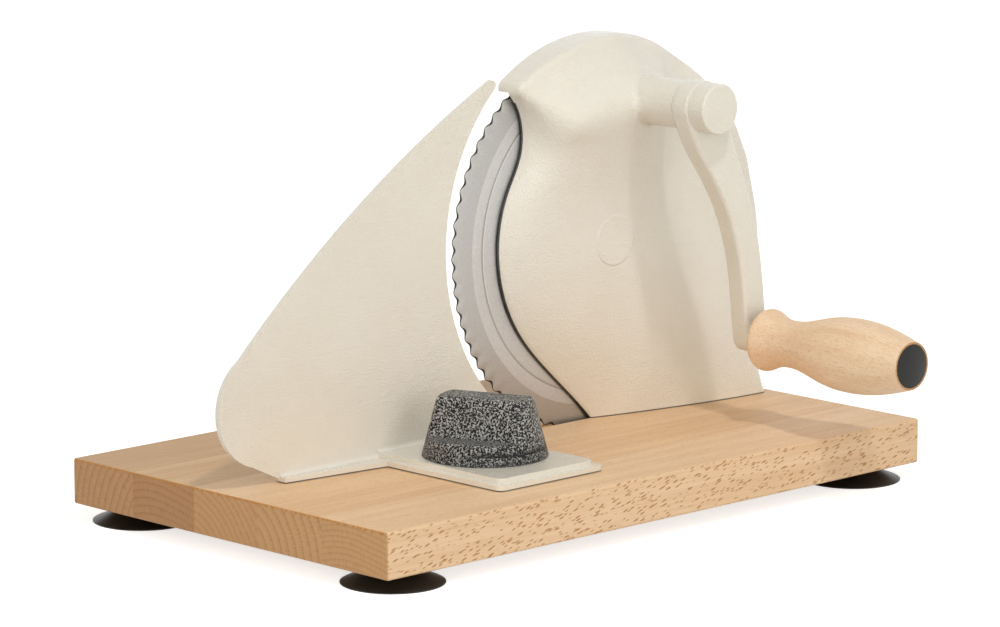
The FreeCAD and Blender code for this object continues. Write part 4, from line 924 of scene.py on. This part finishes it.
@dataclass
class BladeSet:
    """The scalloped blade with its gear, rivets and bush."""

    radius: float = 95.0
    thickness: float = 1.4
    edge: float = 0.3                   # its thickness at the cutting edge
    burr: float = 0.12                  # the edge's front lies this far before the back
    bevel_width: float = 12.5
    bevel_step: float = 0.02            # the grinding wheel's first bite
    teeth: int = 72
    scallop_depth: float = 1.4
    scallop_share: float = 0.55         # of the bevel, over which the scallops run out
    sharpened: float = 1.3              # width of the facet ground along the cutting edge
    ring_radius: float = 75.8
    ring_width: float = 1.6
    ring_depth: float = 0.1
    ring_floor: float = 0.6             # the groove's floor against its width
    loop: float = 0.3                   # rows of corners this far beside a bend keep the flats flat
    bore: float = 8.5
    hub: float = 40.0
    steps_per_tooth: int = 12

    def profile(self, front: float, back: float) -> list[tuple[float, float]]:
        """The blade's section from its bore, out along the front and back along the rear face.

        Args:
            front: the front face's place along Y.
            back: the rear face's place along Y.

        Returns:
            (radius, Y) corners, closed.
        """
        half = self.ring_width / 2
        inner, outer, floor = self.ring_radius - half, self.ring_radius + half, half * self.ring_floor
        bevel, facet = self.radius - self.bevel_width, self.radius - self.sharpened
        slope = (self.thickness - self.edge) / self.bevel_width
        return [(self.bore, back), (self.bore, front), (self.hub, front), (inner - self.loop, front), (inner, front),
                (self.ring_radius - floor, front + self.ring_depth),
                (self.ring_radius + floor, front + self.ring_depth), (outer, front), (outer + self.loop, front),
                (bevel - self.loop, front), (bevel, front + self.bevel_step),
                (bevel + self.loop, front + self.loop * slope + self.bevel_step),
                ((bevel + facet) / 2, front + slope * (facet - bevel) / 2),
                (facet, front + slope * (self.bevel_width - self.sharpened)),
                (self.radius, back - self.burr), (self.radius, back), (bevel, back), (self.bore, back)]

    def dress(self) -> None:
        """Makes the blade by its rule and dresses the rest."""
        low, high = (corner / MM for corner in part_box("blade"))
        middle = (low + high) / 2
        steel = GroundSteel("ground_knife_steel", axle=(middle.x, middle.z),
                            bevel_radius=self.radius - self.bevel_width, ring_radius=self.ring_radius,
                            teeth=self.teeth, scallop_depth=self.scallop_depth, edge_radius=self.radius)
        blade = Turned("blade_ground", [(r, y - low.y) for r, y in self.profile(low.y, high.y)],
                       [(middle.x, low.y, middle.z)], axis_turn=-90.0, segments=self.teeth * self.steps_per_tooth,
                       teeth=self.teeth, scallop_depth=self.scallop_depth,
                       scallop_from=self.radius - self.bevel_width * self.scallop_share, outer=self.radius)
        settle(blade.build(steel.material()), Body.BLADE, "blade", steel.material())
        for node, slot, finish in (("blade_gear", Slot.GEAR, GEAR), ("blade_rivets", Slot.ZINC, ZINC),
                                   ("blade_bush", Slot.BRONZE, BRONZE)):
            dress_copy(node, "finished", Body.BLADE, finish)


@dataclass
class Crank:
    """Shaft, pinion, enamelled arm and the grip's pin."""

    plated: tuple[str, ...] = ("pinion_pin", "crank_washer", "grip_pin", "grip_washer")

    def dress(self) -> None:
        """Dresses every piece that turns with the crank."""
        for node, slot, finish in (("crank_arm", Slot.ENAMEL, ENAMEL), ("crank_shaft", Slot.ZINC, ZINC),
                                   ("crank_pinion", Slot.GEAR, GEAR),
                                   *((name, Slot.ZINC, ZINC) for name in self.plated)):
            dress_copy(node, "finished", Body.CRANK, finish)


@dataclass
class Grip:
    """The turned beech grip and its black cap."""

    def dress(self) -> None:
        """Dresses the grip and the cap."""
        dress_copy("grip", "turned", Body.GRIP, GRIP)
        dress_copy("grip_cap", "moulded", Body.GRIP, CAP)


@dataclass
class GuidePlate:
    """The enamelled plate that sets the slice, with the bolt and washers that travel with it."""

    plated: tuple[str, ...] = ("clamp_bolt", "clamp_bottom_washer", "clamp_washer")

    def dress(self) -> None:
        """Dresses the plate and its fasteners."""
        dress_copy("guide_plate", "cast", Body.GUIDE, ENAMEL)
        for node in self.plated:
            dress_copy(node, "plated", Body.GUIDE, ZINC)


@dataclass
class ClampKnob:
    """The moulded knob that clamps the plate, with its brass insert."""

    def dress(self) -> None:
        """Dresses the knob and the insert."""
        dress_copy("clamp_knob", "moulded", Body.KNOB, KNOB)
        dress_copy("knob_insert", "turned", Body.KNOB, BRASS)


# ------------------------------------------------------------------------------------------ studio
@dataclass
class Lamp:
    """A soft lamp, placed by its bearing from the camera, positive to the right, and its height angle."""

    name: str
    bearing: float
    elevation: float
    distance: float
    size: float
    power: float
    tint: str = "#FFFFFF"


@dataclass
class Studio:
    """Pale floor, even light and the camera, in metres."""

    camera_place: tuple[float, float, float] = (-1.6607, -1.6847, 0.5391)
    camera_azimuth: float = -44.15
    camera_elevation: float = 10.65
    lens: float = 182.56
    target: tuple[float, float, float] = (0.0, 0.0, 0.1)
    world_light: float = 0.43
    world_tint: tuple[float, float, float] = (1.0, 0.965, 0.82)     # as the cream and the wood warm the air's light
    floor_size: float = 14.0
    floor_drop: float = 0.05 * MM       # so that the cups never share the floor's plane
    floor_tone: str = "#E4E4E4"
    floor_glow: float = 0.7             # lifts the seen floor to white
    lamps: list[Lamp] = field(default_factory=lambda: [
        Lamp("key", bearing=26.0, elevation=61.0, distance=2.4, size=0.2, power=15.0, tint="#FAFBFF"),
        Lamp("front", bearing=-8.0, elevation=22.0, distance=2.6, size=1.4, power=10.0),
        Lamp("low", bearing=44.0, elevation=10.0, distance=2.6, size=1.4, power=7.6),
        Lamp("left", bearing=-62.0, elevation=24.0, distance=2.6, size=0.3, power=3.8),
        Lamp("flash", bearing=-8.0, elevation=14.0, distance=2.2, size=0.07, power=1.6),
        Lamp("spark", bearing=62.0, elevation=30.0, distance=2.2, size=0.1, power=1.6),
    ])

    def directions(self) -> tuple[Vector, Vector]:
        """The level direction towards the camera and the one to its right."""
        turn = math.radians(self.camera_azimuth)
        return Vector((math.sin(turn), -math.cos(turn), 0.0)), Vector((math.cos(turn), math.sin(turn), 0.0))

    def build(self) -> None:
        """Sets up the camera, the world, the lamps and the floor."""
        self.place_camera()
        self.light_world()
        for lamp in self.lamps:
            self.hang(lamp)
        self.lay_floor()

    def place_camera(self) -> None:
        """Sets the camera at its place, level and without depth of field."""
        lens = bpy.data.cameras.new("camera")
        lens.lens = self.lens
        lens.sensor_width = 36.0
        lens.clip_start = 0.05
        lens.clip_end = 60.0
        camera = bpy.data.objects.new("camera", lens)
        bpy.context.scene.collection.objects.link(camera)
        towards, _ = self.directions()
        tilt = math.radians(self.camera_elevation)
        back = towards * math.cos(tilt) + Vector((0.0, 0.0, math.sin(tilt)))
        look = (-back).to_track_quat("-Z", "Y").to_matrix().to_4x4()
        camera.matrix_world = Matrix.Translation(self.camera_place) @ look
        bpy.context.scene.camera = camera

    def light_world(self) -> None:
        """An even pale surrounding light that the camera and reflections see as white."""
        world = bpy.data.worlds.new("studio_air")
        world.use_nodes = True
        tree = world.node_tree
        tree.nodes.clear()
        add = partial(add_node, tree)
        seen = self.seen_share(add)
        strength = add("MapRange", {"Value": seen, "To Min": self.world_light})
        colour = add("Mix", {0: seen, 6: (*self.world_tint, 1.0), 7: (1.0, 1.0, 1.0, 1.0)}, data_type="RGBA")
        light = add("Background", {"Color": colour, "Strength": strength})
        add("OutputWorld", {"Surface": light})
        bpy.context.scene.world = world

    @staticmethod
    def seen_share(add: Adder) -> Node:
        """1 for rays from the camera, a reflection or a clear piece, and 0 for the rest.

        Args:
            add: adds a node to the floor's or the world's tree.

        Returns:
            The share.
        """
        path = add("LightPath").outputs
        both = add("Math", {0: path["Is Camera Ray"], 1: path["Is Glossy Ray"]}, operation="MAXIMUM")
        return add("Math", {0: both, 1: path["Is Transmission Ray"]}, operation="MAXIMUM")

    def hang(self, lamp: Lamp) -> None:
        """Adds one round lamp that looks at the object.

        Args:
            lamp: its sizes and place.
        """
        towards, right = self.directions()
        turn, rise = math.radians(lamp.bearing), math.radians(lamp.elevation)
        level = towards * math.cos(turn) + right * math.sin(turn)
        way = level * math.cos(rise) + Vector((0.0, 0.0, math.sin(rise)))
        light = bpy.data.lights.new(lamp.name, "AREA")
        light.shape = "DISK"
        light.size = lamp.size
        light.energy = lamp.power
        light.color = linear(lamp.tint)[:3]
        made = bpy.data.objects.new(lamp.name, light)
        bpy.context.scene.collection.objects.link(made)
        look = (-way).to_track_quat("-Z", "Y").to_matrix().to_4x4()
        made.matrix_world = Matrix.Translation(Vector(self.target) + way * lamp.distance) @ look

    def lay_floor(self) -> None:
        """A pale matt floor that keeps the object's soft shadow."""
        half, z = self.floor_size / 2, -self.floor_drop
        mesh = bpy.data.meshes.new("floor")
        mesh.from_pydata([(-half, -half, z), (half, -half, z), (half, half, z), (-half, half, z)], [], [(0, 1, 2, 3)])
        floor = link_object("floor", mesh)
        paint = bpy.data.materials.new("pale_floor")
        paint.use_nodes = True
        tree = paint.node_tree
        tree.nodes.clear()
        add = partial(add_node, tree)
        matt = add("BsdfDiffuse", {"Color": linear(self.floor_tone)})
        strength = add("Math", {0: self.seen_share(add), 1: self.floor_glow}, operation="MULTIPLY")
        glow = add("Emission", {"Strength": strength})
        both = add("AddShader", {0: matt, 1: glow})
        add("OutputMaterial", {"Surface": both})
        floor.data.materials.append(paint)


def main() -> None:
    """Loads the frame, builds the studio and dresses every sub-assembly in order."""
    logging.basicConfig(level=logging.INFO, format="%(message)s")
    for leftover in list(bpy.data.objects):
        bpy.data.objects.remove(leftover)
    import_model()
    bpy.context.scene.view_settings.view_transform = "Standard"
    Studio().build()
    for assembly in (Board(), SuctionFeet(), Housing(), BladeSet(), Crank(), Grip(), GuidePlate(), ClampKnob()):
        assembly.dress()
        LOG.info("%s is dressed", type(assembly).__name__)


if __name__ == "__main__":
    main()
